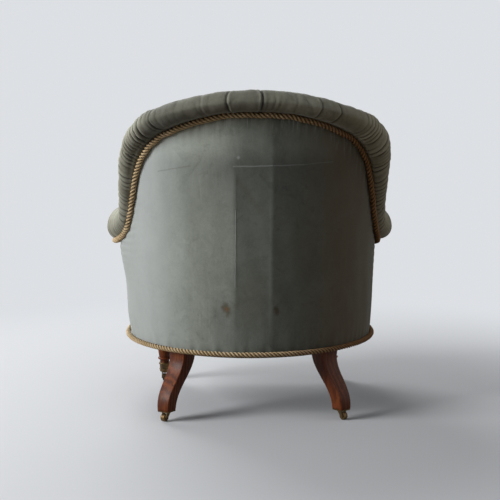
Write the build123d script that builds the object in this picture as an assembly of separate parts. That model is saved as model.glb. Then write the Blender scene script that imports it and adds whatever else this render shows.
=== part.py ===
"""Upholstered tub chair: beech frame, sprung seat, deep-buttoned inside back, rolled top edge and casters.

Millimetres. +Z is up, the sitter faces -Y, and the left side is +X. The origin is on the floor, at the
middle of the chair's outline. The wall of the tub is described by stations: a plan angle in degrees from the
middle of the back, which runs past 90 along the sides to the arm fronts, and an inset, measured inwards from
the outer cover.
"""
from build123d import *
from math import acos, asin, cos, degrees, pi, radians, sin, sqrt, tan
import os

# ---- tub in plan -------------------------------------------------------------------------------
BACK_RADIUS = 314.0            # outer cover, round the back
SIDE_RADIUS = 537.0            # outer cover, along the sides
TUB_CENTRE_Y = -102.0          # centre of the back's circle
ARM_FRONT_Y = -290.0           # front end of the upholstered walls
BACK_RAKE = tan(radians(6.1))  # how far the back leans for each millimetre up
SIDE_FLARE = tan(radians(2.0))  # how far the sides lean out for each millimetre up

# ---- heights -----------------------------------------------------------------------------------
RAIL_BASE_Z = 160.0            # underside of the seat rails
RAIL_HEIGHT = 80.0
WEBBING_THICKNESS = 1.5
SPRING_HEIGHT = 140.0
SEAT_STUFFING_HEIGHT = 50.0
SEAT_CROWN = 54.0
# The seam under the roll: (station, height).
SEAM_LINE = ((0.0, 727.0), (12.0, 723.5), (23.0, 711.0), (31.0, 697.5), (40.0, 678.0), (47.0, 653.0),
             (52.0, 627.0), (56.0, 594.0), (60.0, 546.0), (64.0, 494.0), (69.0, 453.0), (75.0, 427.0),
             (84.0, 411.0), (95.0, 398.0), (105.0, 389.0))

# ---- wall layers, from the outside in ----------------------------------------------------------
COVER_THICKNESS = 3.0
FRAME_THICKNESS = 30.0
HESSIAN_THICKNESS = 2.0
SECTION_STEP = 36.0            # along the seam, between the sections of the wall
WALL_THICKNESS = 76.0          # at the foot of the wall
WALL_THINNING = 0.042          # how much thinner the back gets for each millimetre up
INSIDE_PAD_THICKNESS = 16.0
INSIDE_CROWN = 9.0             # how far the inside back swells
FIT_GAP = 0.3                  # between soft layers and what they lie on

# ---- roll along the top edge: (station, size) --------------------------------------------------
ROLL_OVERHANG = ((0.0, 52.0), (30.0, 63.0), (45.0, 60.0), (55.0, 47.0), (62.0, 32.0), (70.0, 25.0),
                 (80.0, 34.0), (92.0, 51.0), (100.0, 58.0), (110.0, 64.0))
ROLL_RISE = ((0.0, 47.0), (20.0, 47.0), (35.0, 51.0), (48.0, 62.0), (57.0, 67.0), (66.0, 69.0),
             (75.0, 74.0), (85.0, 82.0), (95.0, 89.0), (110.0, 97.0))
ROLL_TILT = 0.6                # how much of the seam's slope the roll's sections follow
ROLL_BULGE = 6.0               # how far it swells over the inside back
SHOULDER_STATION = 57.0        # where the top roll meets the arm rolls
PLEAT_STEP = 20.0              # between the pleats of the top roll
PLEAT_DEPTH = 4.0

# ---- rope trims --------------------------------------------------------------------------------
UPPER_ROPE_DIAMETER = 12.0
LOWER_ROPE_DIAMETER = 11.0
LOWER_ROPE_LIFT = 2.0          # its underside above the cover's lower edge
FACING_ROPE_DIAMETER = 11.0
ROPE_BEND_RADIUS = 20.0        # where the lower rope leaves the side for the facing

# ---- beech frame -------------------------------------------------------------------------------
FRONT_RAIL_THICKNESS = 30.0
TOP_RAIL_HEIGHT = 48.0
POST_WIDTH_ANGLE = 8.0
STUMP_WIDTH = 42.0
TENON_LENGTH = 8.0             # of the posts and stumps, into the rails above them
CORNER_BLOCK_SIZE = 62.0
CORNER_BLOCK_HEIGHT = 45.0
CORNER_BLOCK_BED = 6.0         # how deep its corner is cut to fit the side rail

# ---- legs --------------------------------------------------------------------------------------
BACK_LEG_STATION = 37.0
BACK_LEG_SIZE = 46.0
BACK_FOOT_SIZE = 32.0
BACK_LEG_SWEEP = 56.0          # how far the foot stands out beyond the top
FRONT_LEG_INSET = 47.0         # its centre, from the foot of the side cover at the arm front
FRONT_LEG_BLOCK = 46.0
LEG_CLEARANCE = 2.0            # round the legs, in the sheets under the rails
FRONT_LEG_COLLAR_RADIUS = 23.0
FRONT_LEG_VASE_RADIUS = 23.5
FRONT_LEG_NECK_RADIUS = 15.0
FRONT_LEG_FOOT_RADIUS = 13.5

# ---- casters -----------------------------------------------------------------------------------
WHEEL_RADIUS = 9.5
WHEEL_WIDTH = 11.0
WHEEL_SIDE_GAP = 0.4
AXLE_RADIUS = 2.0
RUNNING_CLEARANCE = 0.05
CHEEK_THICKNESS = 2.2
FORK_DISC_RADIUS = 9.0
FORK_DISC_THICKNESS = 2.4
FORK_TRAIL = 8.0
PIVOT_RADIUS = 2.5
PIVOT_HEAD_RADIUS = 4.2
PIVOT_HEAD_THICKNESS = 1.2
PLATE_THICKNESS = 2.4
PLATE_GAP = 0.2                # between the fork's disc and the plate
CUP_HEIGHT = 24.0
CUP_WALL = 1.8
SCREW_RADIUS = 1.6
SCREW_HEAD_RADIUS = 3.0
SCREW_LENGTH = 14.0

# ---- seat --------------------------------------------------------------------------------------
SPRING_GRID_X = 108.0
SPRING_GRID_Y = 104.0
SPRING_CENTRE_Y = -82.0
SPRING_END_RADIUS = 40.0
SPRING_WAIST_RADIUS = 24.0
SPRING_WIRE = 3.6
SPRING_TURNS = 4.5
WEBBING_WIDTH = 50.0
WEBBING_EDGE = 12.0            # the webbing and bottoming stop this far inside the rails' outer faces
HESSIAN_SHOULDER = 6.0         # the spring hessian's top edge stands this far inside the stuffing's
FACING_THICKNESS = 12.0
# The seat's crown: (share of its height, how far its sides and its front edge stand in from the facings).
SEAT_PROFILE = ((0.0, 3.0, 4.0), (0.12, 0.0, -8.0), (0.26, 0.0, -14.0), (0.42, 1.0, -17.0),
                (0.56, 5.0, -15.0), (0.69, 12.0, -7.0), (0.8, 24.0, 7.0), (0.89, 43.0, 28.0),
                (0.95, 66.0, 56.0), (0.985, 96.0, 90.0), (1.0, 130.0, 120.0))
SEAT_SIDE_GAP = 1.0
BOTTOMING_THICKNESS = 2.0
TACK_HEAD_RADIUS = 4.0
TACK_HEAD_THICKNESS = 1.0
TACK_SHANK_RADIUS = 1.0
TACK_LENGTH = 11.0
TACK_INSET = 20.0
TACK_STEP = 72.0               # along the front rail
TACK_ANGLE = 10.0              # round the back and sides

# ---- buttons: (height at the middle of the back, stations) -------------------------------------
BUTTON_RADIUS = 9.0
BUTTON_THICKNESS = 5.0
BUTTON_ROWS = ((658.0, (-40, -20, 0, 20, 40)), (590.0, (-50, -30, -10, 10, 30, 50)),
               (522.0, (-60, -40, -20, 0, 20, 40, 60)), (454.0, (-50, -30, -10, 10, 30, 50)))
BUTTON_ARCH = 0.021            # how far a row drops for each square degree from the middle
DIMPLE_RADIUS = 26.0
DIMPLE_DEPTH = 12.0

# ---- worked out from the sizes above -----------------------------------------------------------
END_STATION = 90.0 + degrees(asin((TUB_CENTRE_Y - ARM_FRONT_Y) / SIDE_RADIUS))
RAIL_TOP_Z = RAIL_BASE_Z + RAIL_HEIGHT
FRAME_INNER = COVER_THICKNESS + FIT_GAP + FRAME_THICKNESS
FACING_FRONT_Y = ARM_FRONT_Y - FACING_THICKNESS
FRONT_RAIL_Y = ARM_FRONT_Y + FIT_GAP
SPRING_BASE_Z = RAIL_BASE_Z
SPRING_TOP_Z = SPRING_BASE_Z + SPRING_HEIGHT
STUFFING_BASE_Z = SPRING_TOP_Z + HESSIAN_THICKNESS + FIT_GAP
SEAT_BASE_Z = STUFFING_BASE_Z + SEAT_STUFFING_HEIGHT
WALL_FOOT_Z = SEAT_BASE_Z + FIT_GAP
LEG_BASE_Z = 2 * WHEEL_RADIUS + PIVOT_HEAD_THICKNESS + FORK_DISC_THICKNESS + PLATE_GAP + PLATE_THICKNESS + 0.3
DISC_TOP_Z = LEG_BASE_Z - PLATE_THICKNESS - PLATE_GAP
DISC_BASE_Z = DISC_TOP_Z - FORK_DISC_THICKNESS
UPPER_ROPE_RADIUS = UPPER_ROPE_DIAMETER / 2
LOWER_ROPE_RADIUS = LOWER_ROPE_DIAMETER / 2
FACING_ROPE_RADIUS = FACING_ROPE_DIAMETER / 2
ROLL_LIFT = UPPER_ROPE_RADIUS + 1.0


# ---- curves ------------------------------------------------------------------------------------
def smooth(table, x):
    """Value of a smooth curve through the table's points, level at both ends and even in x."""
    x = min(max(abs(x), table[0][0]), table[-1][0])
    k = max(i for i in range(len(table) - 1) if table[i][0] <= x)
    slopes = [0.0]
    for before, after in zip(table[:-2], table[2:]):
        slopes.append((after[1] - before[1]) / (after[0] - before[0]))
    slopes.append(0.0)
    span = table[k + 1][0] - table[k][0]
    t = (x - table[k][0]) / span
    rise = table[k + 1][1] - table[k][1]
    start, end = slopes[k] * span, slopes[k + 1] * span
    return table[k][1] + start * t + (3 * rise - 2 * start - end) * t * t + (start + end - 2 * rise) * t ** 3


def seam_height(station):
    return smooth(SEAM_LINE, station)


def lean(station, z):
    """How far back the wall stands at this height: full round the back, none at the arm fronts."""
    share = max(abs(station) - 90.0, 0.0) / (END_STATION - 90.0)
    return BACK_RAKE * (z - RAIL_BASE_Z) * (1 - share * share * (3 - 2 * share))


def inwards(station):
    """Unit direction, in plan, from the outer cover into the tub."""
    angle = radians(max(min(station, 90.0), -90.0))
    return Vector(-sin(angle), -cos(angle), 0)


def wall_point(station, z, inset=0.0):
    """A point of the wall at a station and height, so far in from the outer cover."""
    angle = radians(abs(station))
    radius = BACK_RADIUS + SIDE_FLARE * (z - RAIL_BASE_Z)
    if abs(station) <= 90:
        x, y = radius * sin(angle), BACK_RADIUS * cos(angle)
    else:
        x = radius - SIDE_RADIUS + SIDE_RADIUS * sin(angle)
        y = SIDE_RADIUS * cos(angle)
    x = x if station > 0 else -x
    return Vector(x, TUB_CENTRE_Y + y + lean(station, z), z) + inwards(station) * inset


def wall_inset(station, z):
    """Inset of the wall's inner surface."""
    return WALL_THICKNESS - WALL_THINNING * (z - RAIL_BASE_Z) * max(cos(radians(station)), 0.0)


def seam_point(station):
    return wall_point(station, seam_height(station))


def seam_step(station):
    """Short step along the seam."""
    step = 0.5
    return seam_point(min(station + step, END_STATION)) - seam_point(max(station - step, -END_STATION))


def steepness(station):
    """Length of the seam for each millimetre of its plan."""
    ahead = seam_step(station)
    return ahead.length / sqrt(ahead.X ** 2 + ahead.Y ** 2)


def seam_plane(station, tilt, lift=0.0):
    """Section plane over the seam: x points out of the tub, y up, and z along the seam."""
    ahead = seam_step(station)
    level = Vector(ahead.X, ahead.Y, ahead.Z * tilt)
    outwards = inwards(station) * -1
    along = level - outwards * level.dot(outwards)
    origin = seam_point(station) + Vector(0, 0, lift * steepness(station))
    return Plane(origin, x_dir=outwards, z_dir=along)


def stations(start, end, step):
    """Evenly spread stations, both ends included."""
    count = max(1, round(abs(end - start) / step))
    return [start + (end - start) * i / count for i in range(count + 1)]


def seam_stations(start, end, step):
    """Stations spread evenly along the seam, both ends included."""
    fine = stations(start, end, 0.25)
    lengths = [0.0]
    for a, b in zip(fine[:-1], fine[1:]):
        lengths.append(lengths[-1] + (seam_point(b) - seam_point(a)).length)
    count = round(lengths[-1] / step)
    inner = [min(zip(lengths, fine), key=lambda pair: abs(pair[0] - lengths[-1] * i / count))[1]
             for i in range(1, count)]
    return [start, *inner, end]


def half_stations():
    """Stations of the left half of the wall, closer together where the seam drops to the arms."""
    back = stations(0, 2 * PLEAT_STEP, PLEAT_STEP / 4)
    shoulder = seam_stations(2 * PLEAT_STEP, SHOULDER_STATION, SECTION_STEP)
    arm = seam_stations(SHOULDER_STATION, END_STATION, SECTION_STEP)
    return back + shoulder[1:] + arm[1:]


HALF_STATIONS = half_stations()


def wall_stations(start, end):
    every = [-s for s in reversed(HALF_STATIONS[1:])] + HALF_STATIONS
    return [start] + [s for s in every if start + 1 < s < end - 1] + [end]


def prism(face, way):
    """Solid that a face sweeps through along a straight way."""
    return Solid.extrude(face, Vector(way))


# ---- wall pieces -------------------------------------------------------------------------------
def wall_section(station, outer, inner, low, high, swell=0.0):
    """Cut through the wall at a station, between two insets and two heights."""
    def inset(value, z):
        return value(station, z) if callable(value) else value

    low_z = low(station) if callable(low) else low
    high_z = high(station) if callable(high) else high
    a = wall_point(station, low_z, inset(outer, low_z))
    b = wall_point(station, low_z, inset(inner, low_z))
    c = wall_point(station, high_z, inset(inner, high_z))
    d = wall_point(station, high_z, inset(outer, high_z))
    if swell:
        inner_edge = ThreePointArc(b, (b + c) * 0.5 + inwards(station) * swell, c)
    else:
        inner_edge = Line(b, c)
    return Wire([Line(a, b), inner_edge, Line(c, d), Line(d, a)])


def wall_piece(spread, outer, inner, low, high, swell=0.0):
    """Solid along the wall, from the first station to the last."""
    return loft([Face(wall_section(s, outer, inner, low, high, swell)) for s in spread], ruled=True)


def under_roll(drop=0.0):
    """Height just under the roll, less a drop."""
    return lambda station: seam_height(station) + (ROLL_LIFT - FIT_GAP) * steepness(station) - drop


def plan_face(z, inset, front_y):
    """Level face of the tub's inside at a height, closed by a straight front edge."""
    def edge(station):
        value = inset(station, z) if callable(inset) else inset
        return wall_point(station, z, value)

    def at_front(sign):
        low, high = 90.0, END_STATION + 8.0
        for _ in range(40):
            middle = (low + high) / 2
            if edge(sign * middle).Y > front_y:
                low = middle
            else:
                high = middle
        return edge(sign * low), sign * (90.0 + low) / 2

    right, right_mid = at_front(-1)
    left, left_mid = at_front(1)
    back = [ThreePointArc(edge(a), edge(a + 45), edge(a + 90)) for a in (-90, 0)]
    sides = [ThreePointArc(right, edge(right_mid), edge(-90)), ThreePointArc(edge(90), edge(left_mid), left)]
    return Face(Wire([sides[0], *back, sides[1], Line(left, right)]))


def mirrored(shape):
    return mirror(shape, Plane.YZ)


def largest(shape):
    return max(shape.solids(), key=lambda solid: solid.volume)


# ---- roll --------------------------------------------------------------------------------------
def roll_size(station):
    """Overhang, rise and inner reach of the roll, drawn in at each pleat of the top roll."""
    drawn = 0.0
    if abs(station) < SHOULDER_STATION - 1:
        drawn = PLEAT_DEPTH * (0.5 + 0.5 * cos(2 * pi * station / PLEAT_STEP))
    reach = wall_inset(station, seam_height(station))
    return smooth(ROLL_OVERHANG, station) - drawn, smooth(ROLL_RISE, station) - drawn, reach


def roll_corners(station):
    """The roll's section: the ends and middles of its arcs, over the wall's top edge."""
    out, rise, reach = roll_size(station)
    middle = (out - reach) / 2
    foot = (0.3 * out, 0)
    outer = (out, 0.46 * rise)
    top = (middle, rise)
    inner = (-reach - ROLL_BULGE, 0.42 * rise)
    heel = (-reach, 0)
    return [(foot, (0.80 * out, 0.12 * rise), outer),
            (outer, (middle + 0.74 * (out - middle), 0.87 * rise), top),
            (top, (middle + 0.76 * (inner[0] - middle), 0.85 * rise), inner),
            (inner, (-reach - 0.6 * ROLL_BULGE, 0.2 * rise), heel)]


def roll_plane(station):
    return seam_plane(station, ROLL_TILT, ROLL_LIFT)


def roll_section(station):
    arcs = [ThreePointArc(*points) for points in roll_corners(station)]
    heel, foot = roll_corners(station)[-1][2], roll_corners(station)[0][0]
    outline = Wire(arcs + [Line(heel, foot)])
    return Face(roll_plane(station).from_local_coords(outline))


def roll_between(start, end):
    return loft([roll_section(s) for s in wall_stations(start, end)], ruled=True)


def front_edge(inset):
    """How far out the wall's front end stands at its lower edge."""
    return wall_point(END_STATION, RAIL_BASE_Z, inset).X


def facing():
    """Padded front of the left arm: the wall's end and the scroll of the arm roll, as one outline."""
    base = roll_plane(END_STATION).origin
    scroll = [[(base.X + x, base.Z + z) for x, z in points] for points in roll_corners(END_STATION)]
    foot, heel = scroll[0][0], scroll[-1][2]
    outer_x, inner_x, bottom = front_edge(0.0), front_edge(WALL_THICKNESS), RAIL_BASE_Z
    edges = [ThreePointArc(*points) for points in scroll]
    edges += Polyline(heel, (inner_x, bottom), (outer_x, bottom), (base.X, base.Z), foot).edges()
    plane = Plane((0, ARM_FRONT_Y, 0), x_dir=(1, 0, 0), z_dir=(0, -1, 0))
    outline = plane.from_local_coords(Wire(edges))
    return prism(Face(outline), (0, -FACING_THICKNESS, 0))


# ---- ropes -------------------------------------------------------------------------------------
def round_path(points):
    """Straight runs joined by arcs as large as their two runs allow."""
    radii = []
    for a, b, c in zip(points[:-2], points[1:-1], points[2:]):
        turn = (b - a).get_angle(c - b)
        shorter = min((b - a).length, (c - b).length)
        radii.append(0.45 * shorter / tan(radians(turn) / 2))
    return FilletPolyline(*points, radius=radii)


def tube(path, radius):
    start = Plane(path.position_at(0), z_dir=path.tangent_at(0))
    return sweep(start * Circle(radius), path=path)


def upper_rope():
    """Rope in the corner between the outer cover and the roll."""
    def section(station):
        plane = seam_plane(station, 1.0)
        return plane * Pos(UPPER_ROPE_RADIUS + FIT_GAP, 0) * Circle(UPPER_ROPE_RADIUS)

    return loft([section(s) for s in wall_stations(-END_STATION, END_STATION)], ruled=True)


def lower_rope():
    """Rope round the whole bottom edge: back, sides and front."""
    z = RAIL_BASE_Z + LOWER_ROPE_LIFT + LOWER_ROPE_RADIUS
    shift = lean(0, z) / 2 + 0.1
    out = LOWER_ROPE_RADIUS + FIT_GAP + shift
    centre_y = TUB_CENTRE_Y + shift
    front_x = wall_point(END_STATION, z).X + out
    front_y = FACING_FRONT_Y - FIT_GAP - LOWER_ROPE_RADIUS
    turn = acos((front_x - BACK_RADIUS + SIDE_RADIUS) / (SIDE_RADIUS + out))

    def back(angle):
        return Vector((BACK_RADIUS + out) * sin(angle), centre_y + (BACK_RADIUS + out) * cos(angle), z)

    def side(angle):
        x = BACK_RADIUS - SIDE_RADIUS + (SIDE_RADIUS + out) * cos(angle)
        return Vector(x, centre_y - (SIDE_RADIUS + out) * sin(angle), z)

    corner = Vector(front_x, front_y, z)
    arcs = [ThreePointArc(back(0), back(pi / 4), side(0)), ThreePointArc(side(0), side(turn / 2), side(turn))]
    outline = Wire([*arcs, Line(side(turn), corner), Line(corner, (0, front_y, z))])
    for place, radius in ((side(turn), ROPE_BEND_RADIUS), (corner, LOWER_ROPE_RADIUS + 2 * FIT_GAP)):
        nearest = min(outline.vertices(), key=lambda v: (Vector(v.X, v.Y, v.Z) - place).length)
        outline = outline.fillet_2d(radius, [nearest])
    half = tube(outline, LOWER_ROPE_RADIUS)
    return half + mirrored(half)


def facing_rope():
    """Rope round the outside and over the scroll of the left arm facing."""
    out = FACING_ROPE_RADIUS + FIT_GAP + 0.6
    base = roll_plane(END_STATION).origin
    y = ARM_FRONT_Y - FACING_THICKNESS / 2
    start_z = RAIL_BASE_Z + LOWER_ROPE_LIFT + LOWER_ROPE_DIAMETER + FIT_GAP
    points = [Vector(wall_point(END_STATION, z).X + out, y, z) for z in (start_z, base.Z - 27)]
    arcs = [ThreePointArc(*corners) for corners in roll_corners(END_STATION)]
    for arc, steps in zip(arcs, (range(2, 6), range(6), range(6), range(4))):
        for share in [step / 6 for step in steps]:
            here, along = arc.position_at(share), arc.tangent_at(share)
            points.append(Vector(base.X + here.X + along.Y * out, y, base.Z + here.Y - along.X * out))
    end_z = seam_height(END_STATION)
    points.append(Vector(wall_point(END_STATION, end_z, wall_inset(END_STATION, end_z)).X - out, y, end_z))
    return tube(round_path(points), FACING_ROPE_RADIUS)


# ---- legs --------------------------------------------------------------------------------------
def back_leg_plane(z, sweep_out=0.0, size=BACK_LEG_SIZE):
    """Level plane at the middle of the left back leg; x points out of the tub."""
    outwards = inwards(BACK_LEG_STATION) * -1
    sagitta = BACK_LEG_SIZE ** 2 / (8 * (BACK_RADIUS - COVER_THICKNESS))
    base = wall_point(BACK_LEG_STATION, RAIL_BASE_Z, COVER_THICKNESS + 2 * FIT_GAP + sagitta)
    centre = base + outwards * (sweep_out - size / 2)
    return Plane((centre.X, centre.Y, z), x_dir=outwards, z_dir=(0, 0, 1))


def back_leg():
    """Square leg that drops, sweeps out and stands upright again on its caster."""
    drop = RAIL_BASE_Z - LEG_BASE_Z
    sections = []
    for share in (0.0, 0.1, 0.22, 0.36, 0.5, 0.64, 0.78, 0.9, 1.0):
        out = BACK_LEG_SWEEP * share ** 3 * (10 - 15 * share + 6 * share ** 2)
        size = BACK_LEG_SIZE + (BACK_FOOT_SIZE - BACK_LEG_SIZE) * share
        sections.append(back_leg_plane(RAIL_BASE_Z - drop * share, out, size) * Rectangle(size, size))
    block = extrude(sections[0], amount=RAIL_HEIGHT)
    return loft(sections) + block


def front_leg_place():
    """Centre of the left front leg, in the corner of the front and side rails."""
    y = FRONT_RAIL_Y + FRONT_RAIL_THICKNESS + FRONT_LEG_BLOCK / 2
    return Vector(wall_point(END_STATION, RAIL_BASE_Z, FRONT_LEG_INSET).X, y, 0)


def front_leg(side_rail):
    """Turned leg under a square block that fits the corner of the rails."""
    top, foot = RAIL_BASE_Z, LEG_BASE_Z
    neck, vase, collar = FRONT_LEG_NECK_RADIUS, FRONT_LEG_VASE_RADIUS, FRONT_LEG_COLLAR_RADIUS
    cup_top = foot + CUP_HEIGHT
    foot_radius = FRONT_LEG_FOOT_RADIUS - CUP_WALL
    ankle = FRONT_LEG_FOOT_RADIUS
    profile = BuildLine()
    with profile:
        Polyline((0, foot), (foot_radius, foot), (foot_radius + 1.2, cup_top), (ankle, cup_top))
        ThreePointArc((ankle, cup_top), (ankle - 0.8, cup_top + 4), (neck, cup_top + 9))
        ThreePointArc((neck, cup_top + 9), (neck + 3.5, cup_top + 12), (neck, cup_top + 15))
        ThreePointArc((neck, cup_top + 15), (vase - 2, top - 52), (vase, top - 36))
        ThreePointArc((vase, top - 36), (vase - 2, top - 26), (neck + 1, top - 20))
        ThreePointArc((neck + 1, top - 20), (neck + 5, top - 17), (neck + 1, top - 14))
        ThreePointArc((neck + 1, top - 14), (neck + 2.5, top - 8), (collar, top - 6))
        Polyline((collar, top - 6), (collar, top), (0, top), (0, foot))
    turned = revolve(Plane.XZ * make_face(profile.line), axis=Axis.Z)
    block = Pos(0, 0, top + RAIL_HEIGHT / 2) * Box(FRONT_LEG_BLOCK, FRONT_LEG_BLOCK, RAIL_HEIGHT)
    place = front_leg_place()
    return Pos(place.X, place.Y, 0) * (turned + block) - side_rail


# ---- casters -----------------------------------------------------------------------------------
def at_caster(shape, place, heading):
    """Put a caster piece, modelled with its pivot on the Z axis and trailing to +X, in its place."""
    return Pos(place.X, place.Y, 0) * Rot(0, 0, heading) * shape


def pivot():
    height = LEG_BASE_Z - PLATE_THICKNESS / 2 - DISC_BASE_Z
    pin = Pos(0, 0, DISC_BASE_Z + height / 2) * Cylinder(PIVOT_RADIUS, height)
    head_z = DISC_BASE_Z - PLATE_GAP - PIVOT_HEAD_THICKNESS / 2
    head = Pos(0, 0, head_z) * Cylinder(PIVOT_HEAD_RADIUS, PIVOT_HEAD_THICKNESS)
    neck = Pos(0, 0, DISC_BASE_Z - PLATE_GAP / 2) * Cylinder(PIVOT_RADIUS, PLATE_GAP)
    return pin + head + neck


def screw_places(count, radius):
    return [(radius * cos(2 * pi * (i + 0.5) / count), radius * sin(2 * pi * (i + 0.5) / count))
            for i in range(count)]


def screw_circle():
    return 0.5 * BACK_FOOT_SIZE * sqrt(2) - 2.2 * SCREW_HEAD_RADIUS


def caster_plate():
    """Square plate under a back leg, with four screw holes and the riveted pivot."""
    z = LEG_BASE_Z - PLATE_THICKNESS / 2
    plate = Pos(0, 0, z) * Box(BACK_FOOT_SIZE, BACK_FOOT_SIZE, PLATE_THICKNESS)
    plate = fillet(plate.edges().filter_by(Axis.Z), 3)
    for x, y in screw_places(4, screw_circle()):
        plate -= Pos(x, y, z) * Cylinder(SCREW_HEAD_RADIUS, PLATE_THICKNESS)
    return plate + pivot()


def caster_screws():
    """Four countersunk screws of one back caster."""
    head_base = LEG_BASE_Z - PLATE_THICKNESS
    shapes = []
    for x, y in screw_places(4, screw_circle()):
        head = Pos(x, y, LEG_BASE_Z - PLATE_THICKNESS / 2) * Cylinder(SCREW_HEAD_RADIUS, PLATE_THICKNESS)
        slot = Pos(x, y, head_base) * Box(2 * SCREW_HEAD_RADIUS, 0.8, 1.0)
        shank = Pos(x, y, LEG_BASE_Z + SCREW_LENGTH / 2) * Cylinder(SCREW_RADIUS, SCREW_LENGTH)
        shapes.append(head + shank - slot)
    return shapes


def caster_cup():
    """Round ringed cup over the foot of a front leg, with the pivot under it."""
    foot, top = FRONT_LEG_FOOT_RADIUS, LEG_BASE_Z + CUP_HEIGHT
    inner = foot - CUP_WALL
    base = LEG_BASE_Z - PLATE_THICKNESS
    profile = BuildLine()
    with profile:
        Polyline((0, base), (foot - 1.5, base), (foot, base + 1.5), (foot, base + 6))
        ThreePointArc((foot, base + 6), (foot + 1.6, base + 8), (foot, base + 10))
        Polyline((foot, base + 10), (foot + 0.6, top - 6))
        ThreePointArc((foot + 0.6, top - 6), (foot + 2.6, top - 3), (foot + 0.6, top))
        Polyline((foot + 0.6, top), (inner + 1.2, top), (inner, LEG_BASE_Z), (0, LEG_BASE_Z), (0, base))
    return revolve(Plane.XZ * make_face(profile.line), axis=Axis.Z) + pivot()


def caster_fork():
    """Swivelling horn: a disc round the pivot and two cheeks that run back and down to the axle."""
    disc = Pos(0, 0, (DISC_BASE_Z + DISC_TOP_Z) / 2) * Cylinder(FORK_DISC_RADIUS, FORK_DISC_THICKNESS)
    offset = WHEEL_WIDTH / 2 + WHEEL_SIDE_GAP + CHEEK_THICKNESS / 2
    outline = BuildLine()
    with outline:
        Polyline((FORK_TRAIL - 4.5, WHEEL_RADIUS), (-5, DISC_BASE_Z), (-5, DISC_TOP_Z), (6, DISC_TOP_Z))
        Polyline((6, DISC_TOP_Z), (FORK_TRAIL + 4.5, WHEEL_RADIUS + 2), (FORK_TRAIL + 4.5, WHEEL_RADIUS))
        ThreePointArc((FORK_TRAIL + 4.5, WHEEL_RADIUS), (FORK_TRAIL, WHEEL_RADIUS - 4.5),
                      (FORK_TRAIL - 4.5, WHEEL_RADIUS))
    cheek_face = Plane.XZ * make_face(outline.line)
    cheek = extrude(cheek_face, amount=CHEEK_THICKNESS / 2, both=True)
    bridge_width = 2 * offset + CHEEK_THICKNESS
    bridge = Pos(0.5, 0, (DISC_BASE_Z + DISC_TOP_Z) / 2) * Box(11, bridge_width, FORK_DISC_THICKNESS)
    fork = disc + bridge + Pos(0, offset, 0) * cheek + Pos(0, -offset, 0) * cheek
    fork -= Pos(0, 0, DISC_BASE_Z) * Cylinder(PIVOT_RADIUS + RUNNING_CLEARANCE, 4 * FORK_DISC_THICKNESS)
    return fork - axle_at_wheel()


def axle_at_wheel():
    length = WHEEL_WIDTH + 2 * WHEEL_SIDE_GAP + 2 * CHEEK_THICKNESS
    return Pos(FORK_TRAIL, 0, WHEEL_RADIUS) * Rot(90, 0, 0) * Cylinder(AXLE_RADIUS, length)


def caster_wheel():
    """Brass wheel with rounded edges and a shallow ring in each face."""
    wheel = fillet(Cylinder(WHEEL_RADIUS, WHEEL_WIDTH).edges(), 1.5)
    for sign in (1, -1):
        ring = Cylinder(WHEEL_RADIUS - 3, 1.2) - Cylinder(AXLE_RADIUS + 3, 1.2)
        wheel -= Pos(0, 0, sign * WHEEL_WIDTH / 2) * ring
    wheel -= Cylinder(AXLE_RADIUS + RUNNING_CLEARANCE, 2 * WHEEL_WIDTH)
    return Pos(FORK_TRAIL, 0, WHEEL_RADIUS) * Rot(90, 0, 0) * wheel


# ---- seat --------------------------------------------------------------------------------------
def biarc(start, start_dir, end, end_dir):
    """Two arcs that join two points and keep the direction at each."""
    chord = end - start
    both = start_dir + end_dir
    a = 2 * (1 - start_dir.dot(end_dir))
    b = 2 * chord.dot(both)
    reach = (sqrt(b * b + 4 * a * chord.dot(chord)) - b) / (2 * a)
    joint = (start + start_dir * reach + end - end_dir * reach) * 0.5
    arcs = []
    for p, direction, q in ((start, start_dir, joint), (end, end_dir * -1, joint)):
        span = q - p
        angle = acos(max(-1.0, min(1.0, direction.dot(span.normalized()))))
        side = (span.normalized() * -cos(angle) + direction).normalized()
        middle = (p + q) * 0.5 + side * (span.length / 2 * tan(angle / 2))
        arcs.append((p, middle, q))
    (p, m, q), (r, n, s) = arcs
    return [ThreePointArc(p, m, q), ThreePointArc(s, n, r)]


def spring_point(turn):
    """Centre of a seat spring's wire: wide at both ends, narrow at the waist."""
    share = turn / SPRING_TURNS
    radius = SPRING_WAIST_RADIUS + (SPRING_END_RADIUS - SPRING_WAIST_RADIUS) * (2 * share - 1) ** 2
    low, high = SPRING_BASE_Z + SPRING_WIRE / 2, SPRING_TOP_Z - SPRING_WIRE / 2
    angle = 2 * pi * turn
    return Vector(radius * cos(angle), radius * sin(angle), low + (high - low) * share)


def seat_spring():
    """One unbroken hourglass coil."""
    step = 0.25
    nudge = 0.001
    turns = [i * step for i in range(int(SPRING_TURNS / step) + 1)]
    spots = [spring_point(t) for t in turns]
    ways = [(spring_point(t + nudge) - spring_point(t - nudge)).normalized() for t in turns]
    edges = []
    for i in range(len(turns) - 1):
        edges += biarc(spots[i], ways[i], spots[i + 1], ways[i + 1])
    gap = min((spring_point(t) - spring_point(t + 1)).length for t in turns if t + 1 <= SPRING_TURNS)
    print("seat spring: least gap between turns", round(gap - SPRING_WIRE, 2), "mm")
    return tube(Wire(edges), SPRING_WIRE / 2)


def seat_springs():
    spring = seat_spring()
    rows = [SPRING_CENTRE_Y + i * SPRING_GRID_Y for i in (-1, 0, 1)]
    return [Pos(i * SPRING_GRID_X, y, 0) * spring for i in (-1, 0, 1) for y in rows]


def under_rails(top_z, thickness, legs):
    """Flat sheet under the rails, cut round the legs."""
    face = plan_face(RAIL_BASE_Z, WEBBING_EDGE, FRONT_RAIL_Y + WEBBING_EDGE)
    sheet = Pos(0, 0, top_z - RAIL_BASE_Z) * prism(face, (0, 0, -thickness))
    for leg in legs:
        sheet -= leg_room(leg)
    return sheet


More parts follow.
